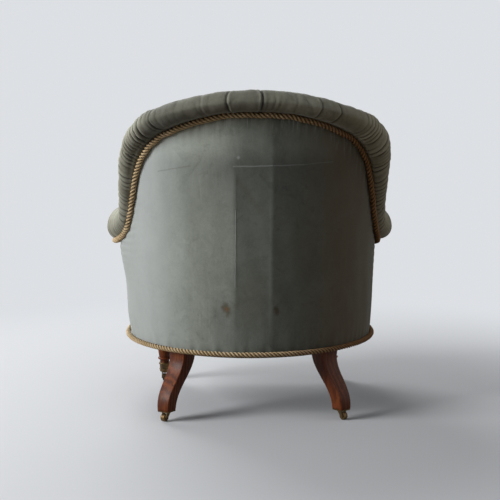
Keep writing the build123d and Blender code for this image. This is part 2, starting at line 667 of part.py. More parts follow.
def leg_room(leg):
    """Room for a leg where it passes the sheets under the rails."""
    centre = leg.bounding_box().center()
    sign = 1 if centre.X > 0 else -1
    if centre.Y < TUB_CENTRE_Y:
        place, size, turn = front_leg_place(), FRONT_LEG_BLOCK + 2 * LEG_CLEARANCE, 0
    else:
        place, size, turn = back_leg_plane(RAIL_BASE_Z).origin, 1.5 * BACK_LEG_SIZE, BACK_LEG_STATION
    return Pos(sign * place.X, place.Y, RAIL_BASE_Z) * Rot(0, 0, -sign * turn) * Box(size, size, size)


def webbing(lengthways, legs):
    """Strips across the rails' underside, one way, cut to the rails' outline."""
    layer = 0 if lengthways else 1
    top = RAIL_BASE_Z - layer * WEBBING_THICKNESS
    sheet = under_rails(top, WEBBING_THICKNESS, legs)
    strips = []
    shanks = tacks()
    for i in (-1, 0, 1):
        if lengthways:
            strip = Pos(i * SPRING_GRID_X, 0, top) * Box(WEBBING_WIDTH, 1000, 10)
        else:
            strip = Pos(0, SPRING_CENTRE_Y + i * SPRING_GRID_Y, top) * Box(1000, WEBBING_WIDTH, 10)
        strips.append(largest((sheet & strip) - shanks))
    return strips


def tack_places():
    """Round the rails' underside, clear of the legs."""
    leg_half = degrees(1.5 * BACK_LEG_SIZE / BACK_RADIUS)
    last = 90 - TACK_ANGLE / 2
    round_back = [s for s in stations(-last, last, TACK_ANGLE) if abs(abs(s) - BACK_LEG_STATION) > leg_half]
    reach = front_leg_place().X - FRONT_LEG_BLOCK / 2 - 1.5 * TACK_INSET
    spots = [wall_point(station, RAIL_BASE_Z, TACK_INSET) for station in round_back]
    front_y = FRONT_RAIL_Y + TACK_INSET
    return spots + [Vector(x, front_y, RAIL_BASE_Z) for x in stations(-reach, reach, TACK_STEP)]


def bottoming(legs):
    """Dust cloth under the seat, with a sunk place for each tack head."""
    top = RAIL_BASE_Z - 2 * WEBBING_THICKNESS
    cloth = under_rails(top, BOTTOMING_THICKNESS, legs)
    base = top - BOTTOMING_THICKNESS
    for spot in tack_places():
        head_place = Pos(spot.X, spot.Y, base + TACK_HEAD_THICKNESS / 2)
        cloth -= head_place * Cylinder(TACK_HEAD_RADIUS, TACK_HEAD_THICKNESS)
        cloth -= Pos(spot.X, spot.Y, top) * Cylinder(TACK_SHANK_RADIUS, 4 * BOTTOMING_THICKNESS)
    return cloth


def tacks():
    base = RAIL_BASE_Z - 2 * WEBBING_THICKNESS - BOTTOMING_THICKNESS
    head = Pos(0, 0, base + TACK_HEAD_THICKNESS / 2) * Cylinder(TACK_HEAD_RADIUS, TACK_HEAD_THICKNESS)
    shank = Pos(0, 0, base + TACK_LENGTH / 2) * Cylinder(TACK_SHANK_RADIUS, TACK_LENGTH)
    tack = head + shank
    return [Pos(spot.X, spot.Y, 0) * tack for spot in tack_places()]


def seat_edge(extra):
    """Inset of the seat's edge, so far inside the wall's inner surface."""
    return lambda station, z: wall_inset(station, z) + extra


def spring_hessian():
    """Hessian drawn over the springs and down to the tops of the rails."""
    low = FRAME_INNER + 3 * FIT_GAP
    high = SEAT_SIDE_GAP + HESSIAN_SHOULDER
    low_front = FRONT_RAIL_Y + FIT_GAP
    high_front = low_front + 2 * HESSIAN_SHOULDER
    skin = 1.5 * HESSIAN_THICKNESS

    def tent(top_z, extra):
        foot = plan_face(RAIL_TOP_Z, low + extra, low_front + extra)
        return loft([foot, plan_face(top_z, seat_edge(high + extra), high_front + extra)])

    return tent(SPRING_TOP_Z + HESSIAN_THICKNESS, 0) - tent(SPRING_TOP_Z, skin)


def seat_stuffing():
    edge = seat_edge(SEAT_SIDE_GAP)
    low = plan_face(STUFFING_BASE_Z, edge, FRONT_RAIL_Y + FIT_GAP)
    high = plan_face(SEAT_BASE_Z - FIT_GAP, edge, FRONT_RAIL_Y + FIT_GAP)
    return loft([low, high])


def seat_cover():
    """Crowned seat, drawn in at the sides and round over the front edge."""
    rope = FACING_ROPE_DIAMETER + 2 * FIT_GAP
    faces = []
    for share, drawn, front in SEAT_PROFILE:
        edge = seat_edge(SEAT_SIDE_GAP + rope + drawn)
        faces.append(plan_face(SEAT_BASE_Z + share * SEAT_CROWN, edge, FACING_FRONT_Y + front))
    return loft(faces, ruled=True)


def front_border():
    """Padded velvet strip between the arm facings, in front of the front rail."""
    top = SEAT_BASE_Z - FIT_GAP
    low, high = [wall_point(END_STATION, z, WALL_THICKNESS).X - FIT_GAP for z in (RAIL_BASE_Z, top)]
    y = ARM_FRONT_Y
    corners = ((-low, y, RAIL_BASE_Z), (low, y, RAIL_BASE_Z), (high, y, top), (-high, y, top))
    outline = Polyline(*corners, close=True)
    return prism(Face(Wire(outline.edges())), (0, -FACING_THICKNESS, 0))


# ---- inside back -------------------------------------------------------------------------------
def button_plane(height, station):
    """On the inside back, where a button pulls it in; z points out of the padding."""
    z = height - BUTTON_ARCH * station ** 2
    surface = wall_point(station, z, wall_inset(station, z) + INSIDE_CROWN * 0.75)
    return Plane(surface, z_dir=inwards(station))


def button_planes():
    return [button_plane(height, station) for height, row in BUTTON_ROWS for station in row]


def inside_back(pad_outer):
    spread = wall_stations(-END_STATION, END_STATION)
    pad = wall_piece(spread, pad_outer, wall_inset, WALL_FOOT_Z, under_roll(), swell=INSIDE_CROWN)
    for plane in button_planes():
        pad -= plane * Pos(0, 0, DIMPLE_RADIUS - DIMPLE_DEPTH) * Sphere(DIMPLE_RADIUS)
    return pad


def back_buttons():
    """Covered buttons, seated in the bottoms of the dimples."""
    button = fillet(Cylinder(BUTTON_RADIUS, BUTTON_THICKNESS).edges().sort_by(Axis.Z)[-1], 2.5)
    seat = DIMPLE_RADIUS - sqrt(DIMPLE_RADIUS ** 2 - BUTTON_RADIUS ** 2)
    height = -DIMPLE_DEPTH + seat + BUTTON_THICKNESS / 2 + 0.05
    return [plane * Pos(0, 0, height) * button for plane in button_planes()]


# ---- whole chair -------------------------------------------------------------------------------
def frame_pieces(legs):
    """The beech frame: four seat rails, posts, crest rail, arm rails and stumps."""
    outer = COVER_THICKNESS + FIT_GAP
    joint = degrees(0.8 * BACK_LEG_SIZE / 2 / BACK_RADIUS)
    pieces = {}

    def top_low(station):
        return under_roll(TOP_RAIL_HEIGHT * steepness(station))(station)

    def top_joint(station):
        return top_low(station) + TENON_LENGTH

    spread = wall_stations(-BACK_LEG_STATION + joint, BACK_LEG_STATION - joint)
    back_rail = wall_piece(spread, outer, FRAME_INNER, RAIL_BASE_Z, RAIL_TOP_Z)
    tack_holes = tacks()
    pieces["back_rail"] = largest(back_rail - legs["back_leg_left"] - legs["back_leg_right"] - tack_holes)
    side = wall_piece(wall_stations(BACK_LEG_STATION + joint, END_STATION), outer, FRAME_INNER,
                      RAIL_BASE_Z, RAIL_TOP_Z)
    side = largest(side - legs["back_leg_left"] - tack_holes)
    pieces["side_rail_left"] = side
    pieces["side_rail_right"] = mirrored(side)
    half = wall_point(END_STATION, RAIL_BASE_Z, FRAME_INNER).X
    width = 2 * (half + 0.5 * FRAME_THICKNESS)
    front = Pos(0, FRONT_RAIL_Y + FRONT_RAIL_THICKNESS / 2, RAIL_BASE_Z + RAIL_HEIGHT / 2)
    front *= Box(width, FRONT_RAIL_THICKNESS, RAIL_HEIGHT)
    pieces["front_rail"] = largest(front - pieces["side_rail_left"] - pieces["side_rail_right"] - tack_holes)

    crest = wall_piece(wall_stations(-SHOULDER_STATION, SHOULDER_STATION), outer, FRAME_INNER, top_low,
                       under_roll())
    pieces["crest_rail"] = crest
    arm = wall_piece(wall_stations(SHOULDER_STATION, END_STATION), outer, FRAME_INNER, top_low, under_roll())
    half_post = POST_WIDTH_ANGLE / 2
    post_spread = stations(BACK_LEG_STATION - half_post, BACK_LEG_STATION + half_post, 2.0)
    post = wall_piece(post_spread, outer + FIT_GAP, FRAME_INNER, RAIL_TOP_Z, top_joint) - crest
    stump_start = END_STATION - degrees(STUMP_WIDTH / SIDE_RADIUS)
    stump_spread = stations(stump_start, END_STATION, 1.0)
    stump = wall_piece(stump_spread, outer + FIT_GAP, FRAME_INNER, RAIL_TOP_Z, top_joint) - arm
    post, stump = largest(post), largest(stump)
    for name, piece in (("arm_rail", arm), ("back_post", post), ("arm_stump", stump)):
        pieces[name + "_left"] = piece
        pieces[name + "_right"] = mirrored(piece)
    return pieces


def corner_blocks(side_rail):
    """Glued blocks behind the front legs."""
    leg_back = front_leg_place().Y + FRONT_LEG_BLOCK / 2
    block_station = END_STATION - degrees((leg_back - ARM_FRONT_Y) / SIDE_RADIUS)
    rail = wall_point(block_station, RAIL_BASE_Z, FRAME_INNER).X + CORNER_BLOCK_BED
    z = RAIL_TOP_Z - CORNER_BLOCK_HEIGHT / 2
    outline = [(rail, leg_back), (rail, leg_back + CORNER_BLOCK_SIZE), (rail - CORNER_BLOCK_SIZE, leg_back)]
    face = make_face(Polyline(*outline, close=True))
    block = Pos(0, 0, z - CORNER_BLOCK_HEIGHT / 2) * extrude(face, amount=CORNER_BLOCK_HEIGHT)
    block = largest(block - side_rail)
    return [block, mirrored(block)]


def caster_parts():
    """The casters' pieces, keyed by the corner they stand at."""
    back = back_leg_plane(LEG_BASE_Z, BACK_LEG_SWEEP, BACK_FOOT_SIZE).origin
    corners = {"back_left": (back, 90 - BACK_LEG_STATION), "front_left": (front_leg_place(), 90.0)}
    for corner in ("back", "front"):
        place, heading = corners[corner + "_left"]
        corners[corner + "_right"] = (Vector(-place.X, place.Y, 0), 180 - heading)
    pieces = {}
    screws = []
    for corner, (place, heading) in corners.items():
        if corner.startswith("back"):
            pieces["caster_plate_" + corner] = at_caster(caster_plate(), place, heading)
            screws += [at_caster(screw, place, heading) for screw in caster_screws()]
        else:
            pieces["caster_cup_" + corner] = at_caster(caster_cup(), place, heading)
        pieces["caster_fork_" + corner] = at_caster(caster_fork(), place, heading)
        pieces["caster_axle_" + corner] = at_caster(axle_at_wheel(), place, heading)
        pieces["caster_wheel_" + corner] = at_caster(caster_wheel(), place, heading)
    pieces["caster_screws"] = screws
    return pieces


def chair():
    pieces = {}
    casters = caster_parts()
    leg = back_leg()
    for screw in casters["caster_screws"][:4]:
        leg -= screw
    legs = {"back_leg_left": leg, "back_leg_right": mirrored(leg)}
    frame = frame_pieces(legs)
    turned = front_leg(frame["side_rail_left"])
    legs["front_leg_left"] = turned
    legs["front_leg_right"] = mirrored(turned)
    pieces.update(frame)
    pieces.update(legs)
    pieces["corner_blocks"] = corner_blocks(frame["side_rail_left"])

    everywhere = wall_stations(-END_STATION, END_STATION)
    hessian_inner = FRAME_INNER + HESSIAN_THICKNESS

    def pad_outer(station, z):
        return wall_inset(station, z) - INSIDE_PAD_THICKNESS

    pieces["outer_cover"] = wall_piece(everywhere, 0.0, COVER_THICKNESS, RAIL_BASE_Z, under_roll())
    pieces["back_hessian"] = wall_piece(everywhere, FRAME_INNER + FIT_GAP, hessian_inner + FIT_GAP,
                                        WALL_FOOT_Z, under_roll(4.0))
    pieces["back_stuffing"] = wall_piece(everywhere, hessian_inner + 2 * FIT_GAP,
                                         lambda s, z: pad_outer(s, z) - FIT_GAP, WALL_FOOT_Z, under_roll())
    pieces["inside_back"] = inside_back(pad_outer)
    pieces["back_buttons"] = back_buttons()
    pieces["top_roll"] = roll_between(-SHOULDER_STATION, SHOULDER_STATION)
    arm = roll_between(SHOULDER_STATION, END_STATION)
    pieces["arm_roll_left"] = arm
    pieces["arm_roll_right"] = mirrored(arm)
    front = facing()
    pieces["arm_facing_left"] = front
    pieces["arm_facing_right"] = mirrored(front)
    edging = facing_rope()
    pieces["facing_rope_left"] = edging
    pieces["facing_rope_right"] = mirrored(edging)
    pieces["rope_trim_upper"] = upper_rope()
    pieces["rope_trim_lower"] = lower_rope()

    feet = [legs[name] for name in sorted(legs)]
    pieces["webbing_lengthways"] = webbing(True, feet)
    pieces["webbing_crossways"] = webbing(False, feet)
    pieces["bottoming_cloth"] = bottoming(feet)
    pieces["bottoming_tacks"] = tacks()
    pieces["seat_springs"] = seat_springs()
    pieces["spring_hessian"] = spring_hessian()
    pieces["seat_stuffing"] = seat_stuffing()
    pieces["seat_cover"] = seat_cover()
    pieces["front_border"] = front_border()
    pieces.update(casters)
    return pieces


def main():
    os.makedirs("parts", exist_ok=True)
    for name, piece in chair().items():
        solids = []
        for item in piece if isinstance(piece, list) else [piece]:
            solids += item.solids()
        whole = Compound(children=solids) if len(solids) > 1 else solids[0]
        whole.label = name
        export_step(whole, f"parts/{name}.step")


main()
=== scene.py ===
"""Tub chair: velvet, gold rope trims, mahogany legs and aged brass casters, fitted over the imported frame.

Metres. +Z is up, the sitter faces -Y and the chair's left side is +X. The wall of the tub is described as in
the part's source: a station is a plan angle in degrees from the middle of the back, past 90 along the sides,
and an inset is measured inwards from the outer cover.
"""
from math import acos, asin, atan, cos, degrees, pi, radians, sin, sqrt, tan

import bmesh
import bpy
import numpy as np
from mathutils import Euler, Matrix, Vector


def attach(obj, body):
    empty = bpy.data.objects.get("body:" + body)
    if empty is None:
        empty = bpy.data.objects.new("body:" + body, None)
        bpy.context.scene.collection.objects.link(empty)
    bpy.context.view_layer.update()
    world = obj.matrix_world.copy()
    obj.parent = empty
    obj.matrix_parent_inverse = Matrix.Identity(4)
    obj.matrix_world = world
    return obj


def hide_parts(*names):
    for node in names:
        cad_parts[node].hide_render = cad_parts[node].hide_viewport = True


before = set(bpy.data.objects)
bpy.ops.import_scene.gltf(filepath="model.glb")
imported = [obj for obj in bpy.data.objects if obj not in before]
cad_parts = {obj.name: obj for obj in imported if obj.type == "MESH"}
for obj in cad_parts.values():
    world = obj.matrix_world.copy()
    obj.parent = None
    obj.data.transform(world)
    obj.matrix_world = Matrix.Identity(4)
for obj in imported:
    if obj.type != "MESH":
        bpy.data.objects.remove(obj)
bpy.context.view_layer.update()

# ---- sizes of the tub, as in the part's source ---------------------------------------------------
BACK_RADIUS = 0.314
SIDE_RADIUS = 0.537
TUB_CENTRE_Y = -0.102
ARM_FRONT_Y = -0.290
BACK_RAKE = tan(radians(6.1))
SIDE_FLARE = tan(radians(2.0))
RAIL_BASE_Z = 0.160
RAIL_TOP_Z = 0.240
SEAT_BASE_Z = 0.3523
SEAT_CROWN = 0.054
WALL_THICKNESS = 0.076
WALL_THINNING = 0.042
INSIDE_CROWN = 0.009
FACING_THICKNESS = 0.012
UPPER_ROPE_RADIUS = 0.006
LOWER_ROPE_RADIUS = 0.0055
FACING_ROPE_RADIUS = 0.0055
ROPE_FULLNESS = 1.17  # the loose strands of the two long ropes against the plain cords of the part
ROPE_PITCH = 0.028
ROPE_STEP = 0.0016
GROOVE_DEPTH = 0.66  # radius of the grooves between the strands, of the whole radius
ROLL_LIFT = 0.007
ROLL_TILT = 0.6
ROLL_BULGE = 0.006
SEAM_LINE = ((0, 0.727), (12, 0.7235), (23, 0.711), (31, 0.6975), (40, 0.678), (47, 0.653), (52, 0.627),
             (56, 0.594), (60, 0.546), (64, 0.494), (69, 0.453), (75, 0.427), (84, 0.411), (95, 0.398),
             (105, 0.389))
ROLL_OVERHANG = ((0, 0.052), (30, 0.063), (45, 0.060), (55, 0.047), (62, 0.032), (70, 0.025), (80, 0.034),
                 (92, 0.051), (100, 0.058), (110, 0.064))
ROLL_RISE = ((0, 0.047), (20, 0.047), (35, 0.051), (48, 0.062), (57, 0.067), (66, 0.069), (75, 0.074),
             (85, 0.082), (95, 0.089), (110, 0.097))
BUTTON_ROWS = ((0.658, (-40, -20, 0, 20, 40)), (0.590, (-50, -30, -10, 10, 30, 50)),
               (0.522, (-60, -40, -20, 0, 20, 40, 60)), (0.454, (-50, -30, -10, 10, 30, 50)))
BUTTON_ARCH = 0.000021
BUTTON_RADIUS = 0.009
END_STATION = 90 + degrees(asin((TUB_CENTRE_Y - ARM_FRONT_Y) / SIDE_RADIUS))


# ---- curves --------------------------------------------------------------------------------------
def smooth(table, x):
    """Values of a smooth curve through the table's points, level at both ends and even in x."""
    spots = np.array([p[0] for p in table], float)
    values = np.array([p[1] for p in table], float)
    slopes = np.zeros(len(spots))
    slopes[1:-1] = (values[2:] - values[:-2]) / (spots[2:] - spots[:-2])
    x = np.clip(np.abs(x), spots[0], spots[-1])
    k = np.clip(np.searchsorted(spots, x, side="right") - 1, 0, len(spots) - 2)
    span = spots[k + 1] - spots[k]
    t = (x - spots[k]) / span
    rise = values[k + 1] - values[k]
    start, end = slopes[k] * span, slopes[k + 1] * span
    return values[k] + start * t + (3 * rise - 2 * start - end) * t * t + (start + end - 2 * rise) * t ** 3


def ease(low, high, x):
    """From 0 below low to 1 above high, level at both ends."""
    t = np.clip((np.asarray(x, float) - low) / (high - low), 0, 1)
    return t * t * (3 - 2 * t)


def bump(x, centre, width):
    return np.exp(-((x - centre) / width) ** 2)


def ripple(x, y, seed, size):
    """Soft irregular waves between about -1 and 1, of this size in metres."""
    random = np.random.default_rng(seed)
    total = 0.0
    for _ in range(7):
        angle, phase = random.uniform(0, 2 * pi, 2)
        pitch = size * random.uniform(0.6, 1.7)
        total = total + np.sin(2 * pi * (x * cos(angle) + y * sin(angle)) / pitch + phase)
    return total / 3.2


def inwards(station):
    angle = np.radians(np.clip(station, -90, 90))
    return np.stack([-np.sin(angle), -np.cos(angle), np.zeros_like(angle)], -1)


def wall_point(station, z, inset=0.0):
    """Points of the wall at stations and heights, so far in from the outer cover."""
    station, z, inset = np.broadcast_arrays(np.asarray(station, float), np.asarray(z, float), inset)
    angle = np.radians(np.abs(station))
    radius = BACK_RADIUS + SIDE_FLARE * (z - RAIL_BASE_Z)
    behind = np.abs(station) <= 90
    x = np.where(behind, radius * np.sin(angle), radius - SIDE_RADIUS + SIDE_RADIUS * np.sin(angle))
    y = np.where(behind, BACK_RADIUS * np.cos(angle), SIDE_RADIUS * np.cos(angle))
    share = np.clip(np.abs(station) - 90, 0, None) / (END_STATION - 90)
    lean = BACK_RAKE * (z - RAIL_BASE_Z) * (1 - share * share * (3 - 2 * share))
    points = np.stack([np.sign(station) * x, TUB_CENTRE_Y + y + lean, z], -1)
    return points + inwards(station) * inset[..., None]


def wall_inset(station, z):
    return WALL_THICKNESS - WALL_THINNING * (z - RAIL_BASE_Z) * np.clip(np.cos(np.radians(station)), 0, None)


def seam_point(station):
    return wall_point(station, smooth(SEAM_LINE, station))


def seam_axes(station, tilt, lift=0.0):
    """Section planes over the seam: origins, the direction out of the tub, and the direction up."""
    after, before = np.minimum(station + 0.5, END_STATION), np.maximum(station - 0.5, -END_STATION)
    ahead = seam_point(after) - seam_point(before)
    steep = np.linalg.norm(ahead, axis=-1) / np.linalg.norm(ahead[..., :2], axis=-1)
    outwards = -inwards(station)
    level = ahead * np.array([1, 1, tilt])
    along = level - outwards * np.sum(level * outwards, -1, keepdims=True)
    along /= np.linalg.norm(along, axis=-1, keepdims=True)
    up = np.cross(along, outwards)
    origin = seam_point(station)
    origin[..., 2] += lift * steep
    return origin, outwards, up


def seam_lengths(stations):
    """Distance along the seam from the middle of the back."""
    steps = np.linalg.norm(np.diff(seam_point(stations), axis=0), axis=-1)
    lengths = np.concatenate([[0], np.cumsum(steps)])
    return lengths - np.interp(0, stations, lengths)


def spread_stations(step, fine_step, fine_from, fine_to):
    """Stations from one arm front to the other, closer together between two stations of each side."""
    fine = np.linspace(0, END_STATION, 4000)
    length = seam_lengths(np.concatenate([[-0.001], fine]))[1:]
    pitch = np.where((fine > fine_from) & (fine < fine_to), fine_step, step)
    count = np.concatenate([[0], np.cumsum(np.diff(length) / pitch[1:])])
    half = np.interp(np.linspace(0, count[-1], int(count[-1]) + 1), count, fine)
    return np.concatenate([-half[:0:-1], half])


def arcs(starts, middles, ends, count):
    """Points on arcs from start through middle to end, one arc in each row."""
    (ax, ay), (bx, by), (cx, cy) = starts.T, middles.T, ends.T
    d = 2 * (ax * (by - cy) + bx * (cy - ay) + cx * (ay - by))
    a, b, c = ax * ax + ay * ay, bx * bx + by * by, cx * cx + cy * cy
    centre = np.stack([(a * (by - cy) + b * (cy - ay) + c * (ay - by)) / d,
                       (a * (cx - bx) + b * (ax - cx) + c * (bx - ax)) / d], -1)
    radius = np.linalg.norm(starts - centre, axis=-1)
    first = np.arctan2(*(starts - centre).T[::-1])
    last = np.arctan2(*(ends - centre).T[::-1])
    leftwards = (bx - ax) * (cy - by) - (by - ay) * (cx - bx) > 0
    turn = np.where(leftwards, (last - first) % (2 * pi), -((first - last) % (2 * pi)))
    angles = first[:, None] + turn[:, None] * np.linspace(0, 1, count)
    return centre[:, None] + radius[:, None, None] * np.stack([np.cos(angles), np.sin(angles)], -1)


def roll_outlines(stations, count):
    """Sections of the roll, from its foot by the rope, over its top, to its heel over the inside back."""
    out, rise = smooth(ROLL_OVERHANG, stations) - 0.0015, smooth(ROLL_RISE, stations) - 0.0015
    reach = wall_inset(stations, smooth(SEAM_LINE, stations))
    middle, inner = (out - reach) / 2, -reach - ROLL_BULGE
    corners = [(0.3 * out, 0 * out), (0.8 * out, 0.12 * rise), (out, 0.46 * rise),
               (middle + 0.74 * (out - middle), 0.87 * rise), (middle, rise),
               (middle + 0.76 * (inner - middle), 0.85 * rise), (inner, 0.42 * rise),
               (-reach - 0.6 * ROLL_BULGE, 0.2 * rise), (-reach, 0 * rise)]
    corners = [np.stack(pair, -1) for pair in corners]
    runs = [arcs(*corners[i:i + 3], 24) for i in (0, 2, 4, 6)]
    line = np.concatenate([run if i == 0 else run[:, 1:] for i, run in enumerate(runs)], axis=1)
    gaps = np.linalg.norm(np.diff(line, axis=1), axis=-1)
    length = np.concatenate([np.zeros((len(line), 1)), np.cumsum(gaps, axis=1)], axis=1)
    shares = np.linspace(0, 1, count)
    return np.stack([[np.interp(shares * far[-1], far, row[:, k]) for k in (0, 1)]
                     for far, row in zip(length, line)]).transpose(0, 2, 1)


# ---- meshes --------------------------------------------------------------------------------------
def new_piece(name, points, faces, uv=None, marks=None):
    """Object from points and faces, with its normals turned outwards and smooth shading."""
    mesh = bpy.data.meshes.new(name)
    mesh.from_pydata(np.asarray(points).reshape(-1, 3).tolist(), [], faces)
    if uv is not None:
        layer = mesh.uv_layers.new(name="surface")
        flat = np.zeros((len(mesh.loops), 2))
        flat[:len(uv)] = uv
        layer.data.foreach_set("uv", flat.ravel())
    for key, values in (marks or {}).items():
        mesh.attributes.new(key, "FLOAT", "POINT").data.foreach_set("value", values.ravel())
    work = bmesh.new()
    work.from_mesh(mesh)
    bmesh.ops.recalc_face_normals(work, faces=work.faces)
    return shown(mesh, work)


def shown(mesh, work):
    """Object in the scene from a mesh and the bmesh to put in it, with smooth shading."""
    work.to_mesh(mesh)
    work.free()
    piece = bpy.data.objects.new(mesh.name, mesh)
    bpy.context.scene.collection.objects.link(piece)
    mesh.polygons.foreach_set("use_smooth", [True] * len(mesh.polygons))
    mesh.update()
    return piece


def lofted(name, rings, closed=False, marks=None, along=None, around=None):
    """Closed skin through rings of points. Its UV runs along the piece and round it, in metres."""
    count, size = rings.shape[:2]
    rows = np.arange(count if closed else count - 1)[:, None]
    ring, spot = rows * size, np.arange(size)[None, :]
    next_ring, next_spot = (rows + 1) % count * size, (spot + 1) % size
    corners = ring + spot, ring + next_spot, next_ring + next_spot, next_ring + spot
    quads = np.stack(np.broadcast_arrays(*corners), -1)
    if along is None:
        centres = rings.mean(axis=1)
        along = np.concatenate([[0], np.cumsum(np.linalg.norm(np.diff(centres, axis=0), axis=-1))])
    if around is None:
        steps = np.linalg.norm(np.roll(rings, -1, axis=1) - rings, axis=-1).mean(axis=0)
        around = np.concatenate([[0], np.cumsum(steps)])
    along = np.append(along, 2 * along[-1] - along[-2])
    low, high = along[rows + 0 * spot], along[rows + 1 + 0 * spot]
    left, right = around[spot + 0 * rows], around[spot + 1 + 0 * rows]
    uv = np.stack([np.stack([low, left], -1), np.stack([low, right], -1), np.stack([high, right], -1),
                   np.stack([high, left], -1)], 2).reshape(-1, 2)
    faces = quads.reshape(-1, 4).tolist()
    if not closed:
        faces += [list(range(size)), [(count - 1) * size + i for i in range(size)]]
    return new_piece(name, rings, faces, uv, marks)


def backed(name, face, behind, marks):
    """Closed skin from a marked face and the unmarked points behind it."""
    blank = np.zeros(behind.shape[:2])
    marks = {key: np.concatenate([level, blank], axis=1) for key, level in marks.items()}
    return lofted(name, np.concatenate([face, behind], axis=1), marks=marks)


def rope(name, path, sideways, radius, pitch, closed=False):
    """Three twisted strands round a path that is nowhere in line with the sideways direction."""
    steps = np.linalg.norm(np.diff(path, axis=0), axis=-1)
    length = np.concatenate([[0], np.cumsum(steps)])
    if closed:
        whole = length[-1] + np.linalg.norm(path[0] - path[-1])
        pitch = whole / round(whole / pitch)
        ahead = np.roll(path, -1, axis=0) - np.roll(path, 1, axis=0)
    else:
        ahead = np.gradient(path, axis=0)
    ahead /= np.linalg.norm(ahead, axis=-1, keepdims=True)
    across = sideways - ahead * np.sum(sideways * ahead, -1, keepdims=True)
    across /= np.linalg.norm(across, axis=-1, keepdims=True)
    over = np.cross(ahead, across)
    size = 27
    lobe = np.radians((np.arange(size) * 360 / size + 60) % 120 - 60)
    pitch_radius = 0.536 * radius
    strand_radius = radius - pitch_radius
    bulge = np.clip(strand_radius ** 2 - pitch_radius ** 2 * np.sin(lobe) ** 2, 0, None)
    shape = np.maximum(pitch_radius * np.cos(lobe) + np.sqrt(bulge), GROOVE_DEPTH * radius)
    slack = 1 + 0.025 * np.sin(length / pitch * 4.1) + 0.02 * np.sin(length / pitch * 9.7 + 1)
    angle = np.arange(size) * 2 * pi / size + 2 * pi * (length / pitch)[:, None]
    rings = path[:, None] + slack[:, None, None] * shape[None, :, None] * (
        np.cos(angle)[..., None] * across[:, None] + np.sin(angle)[..., None] * over[:, None])
    groove = np.broadcast_to(1 - (shape / radius - GROOVE_DEPTH) / (1 - GROOVE_DEPTH), angle.shape)
    strand = np.arange(size + 1) * 3 / size
    return lofted(name, rings, closed, {"groove": groove}, along=length / radius, around=strand)


def rounded(corners, radii, step):
    """Polyline with its corners rounded, in points about a step apart."""
    line = [corners[0]]
    for before, corner, after, radius in zip(corners[:-2], corners[1:-1], corners[2:], radii):
        to, fro = (before - corner).normalized(), (after - corner).normalized()
        half = to.angle(fro) / 2
        reach = radius / tan(half)
        start, end = corner + to * reach, corner + fro * reach
        centre = corner + (to + fro).normalized() * (radius / sin(half))
        for i in range(9):
            spoke = (start - centre).normalized().slerp((end - centre).normalized(), i / 8)
            line.append(centre + spoke * radius)
    line.append(corners[-1])
    return resampled(np.array(line), step)


def resampled(line, step):
    """Points about a step apart along a polyline."""
    length = np.concatenate([[0], np.cumsum(np.linalg.norm(np.diff(line, axis=0), axis=-1))])
    spots = np.linspace(0, length[-1], int(length[-1] / step) + 1)
    return np.stack([np.interp(spots, length, line[:, k]) for k in range(3)], -1)


def only(*pieces):
    bpy.ops.object.select_all(action="DESELECT")
    for piece in pieces:
        piece.select_set(True)
    bpy.context.view_layer.objects.active = pieces[0]


def applied(piece, kind, **settings):
    only(piece)
    modifier = piece.modifiers.new(kind.lower(), kind)
    for key, value in settings.items():
        setattr(modifier, key, value)
    bpy.ops.object.modifier_apply(modifier=modifier.name)


def placed(piece):
    """Put the object's place into its mesh."""
    only(piece)
    bpy.ops.object.transform_apply(location=True, rotation=True, scale=True)


def other_side(piece, name):
    """Mirrored copy for the right-hand side, turned the right way out."""
    copy = piece.copy()
    copy.data = piece.data.copy()
    copy.name = copy.data.name = name
    bpy.context.scene.collection.objects.link(copy)
    copy.scale.x = -1
    placed(copy)
    only(copy)
    bpy.ops.object.mode_set(mode="EDIT")
    bpy.ops.mesh.select_all(action="SELECT")
    bpy.ops.mesh.normals_make_consistent(inside=False)
    bpy.ops.object.mode_set(mode="OBJECT")
    return copy


def dress(piece, material, slot, *nodes, body="chair"):
    """Give a new piece its finish and its body, and hide the nodes that it stands for."""
    piece.data.materials.clear()
    piece.data.materials.append(material)
    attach(piece, body)
    if nodes:
        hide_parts(*nodes)
    return piece


# ---- shader groups -------------------------------------------------------------------------------
class Value:
    """Output of a shader node. Arithmetic with it adds Math nodes to the same tree."""

    def __init__(self, tree, socket):
        self.tree = tree
        self.socket = socket

    def calculated(self, operation, other=0.0):
        return value(self.tree, "Math", {0: self, 1: other}, operation=operation)

    def vector(self, operation, other=(0, 0, 0)):
        inputs = {0: self, "Scale" if operation == "SCALE" else 1: other}
        output = "Value" if operation in ("LENGTH", "DOT_PRODUCT") else "Vector"
        return value(self.tree, "VectorMath", inputs, output, operation=operation)

    def clamped(self):
        """The same value, kept between 0 and 1 by the node that makes it."""
        self.socket.node.use_clamp = True
        return self

    def __add__(self, other):
        return self.calculated("ADD", other)

    def __sub__(self, other):
        return self.calculated("SUBTRACT", other)

    def __rsub__(self, other):
        return value(self.tree, "Math", {0: other, 1: self}, operation="SUBTRACT")

    def __mul__(self, other):
        return self.calculated("MULTIPLY", other)


def join(socket, given):
    """Link a value to an input, or set the input to a number, a place or a colour."""
    if isinstance(given, Value):
        given.tree.links.new(given.socket, socket)
    elif socket.type == "RGBA":
        socket.default_value = (*given[:3], 1)
    else:
        socket.default_value = given


def node(tree, kind, inputs=None, **settings):
    """Shader node with its settings, and its inputs linked or set."""
    made = tree.nodes.new("ShaderNode" + kind)
    for key, setting in settings.items():
        setattr(made, key, setting)
    for key, given in (inputs or {}).items():
        join(made.inputs[key], given)
    return made


def value(tree, kind, inputs=None, output=0, **settings):
    """One output of a new shader node."""
    return Value(tree, node(tree, kind, inputs, **settings).outputs[output])


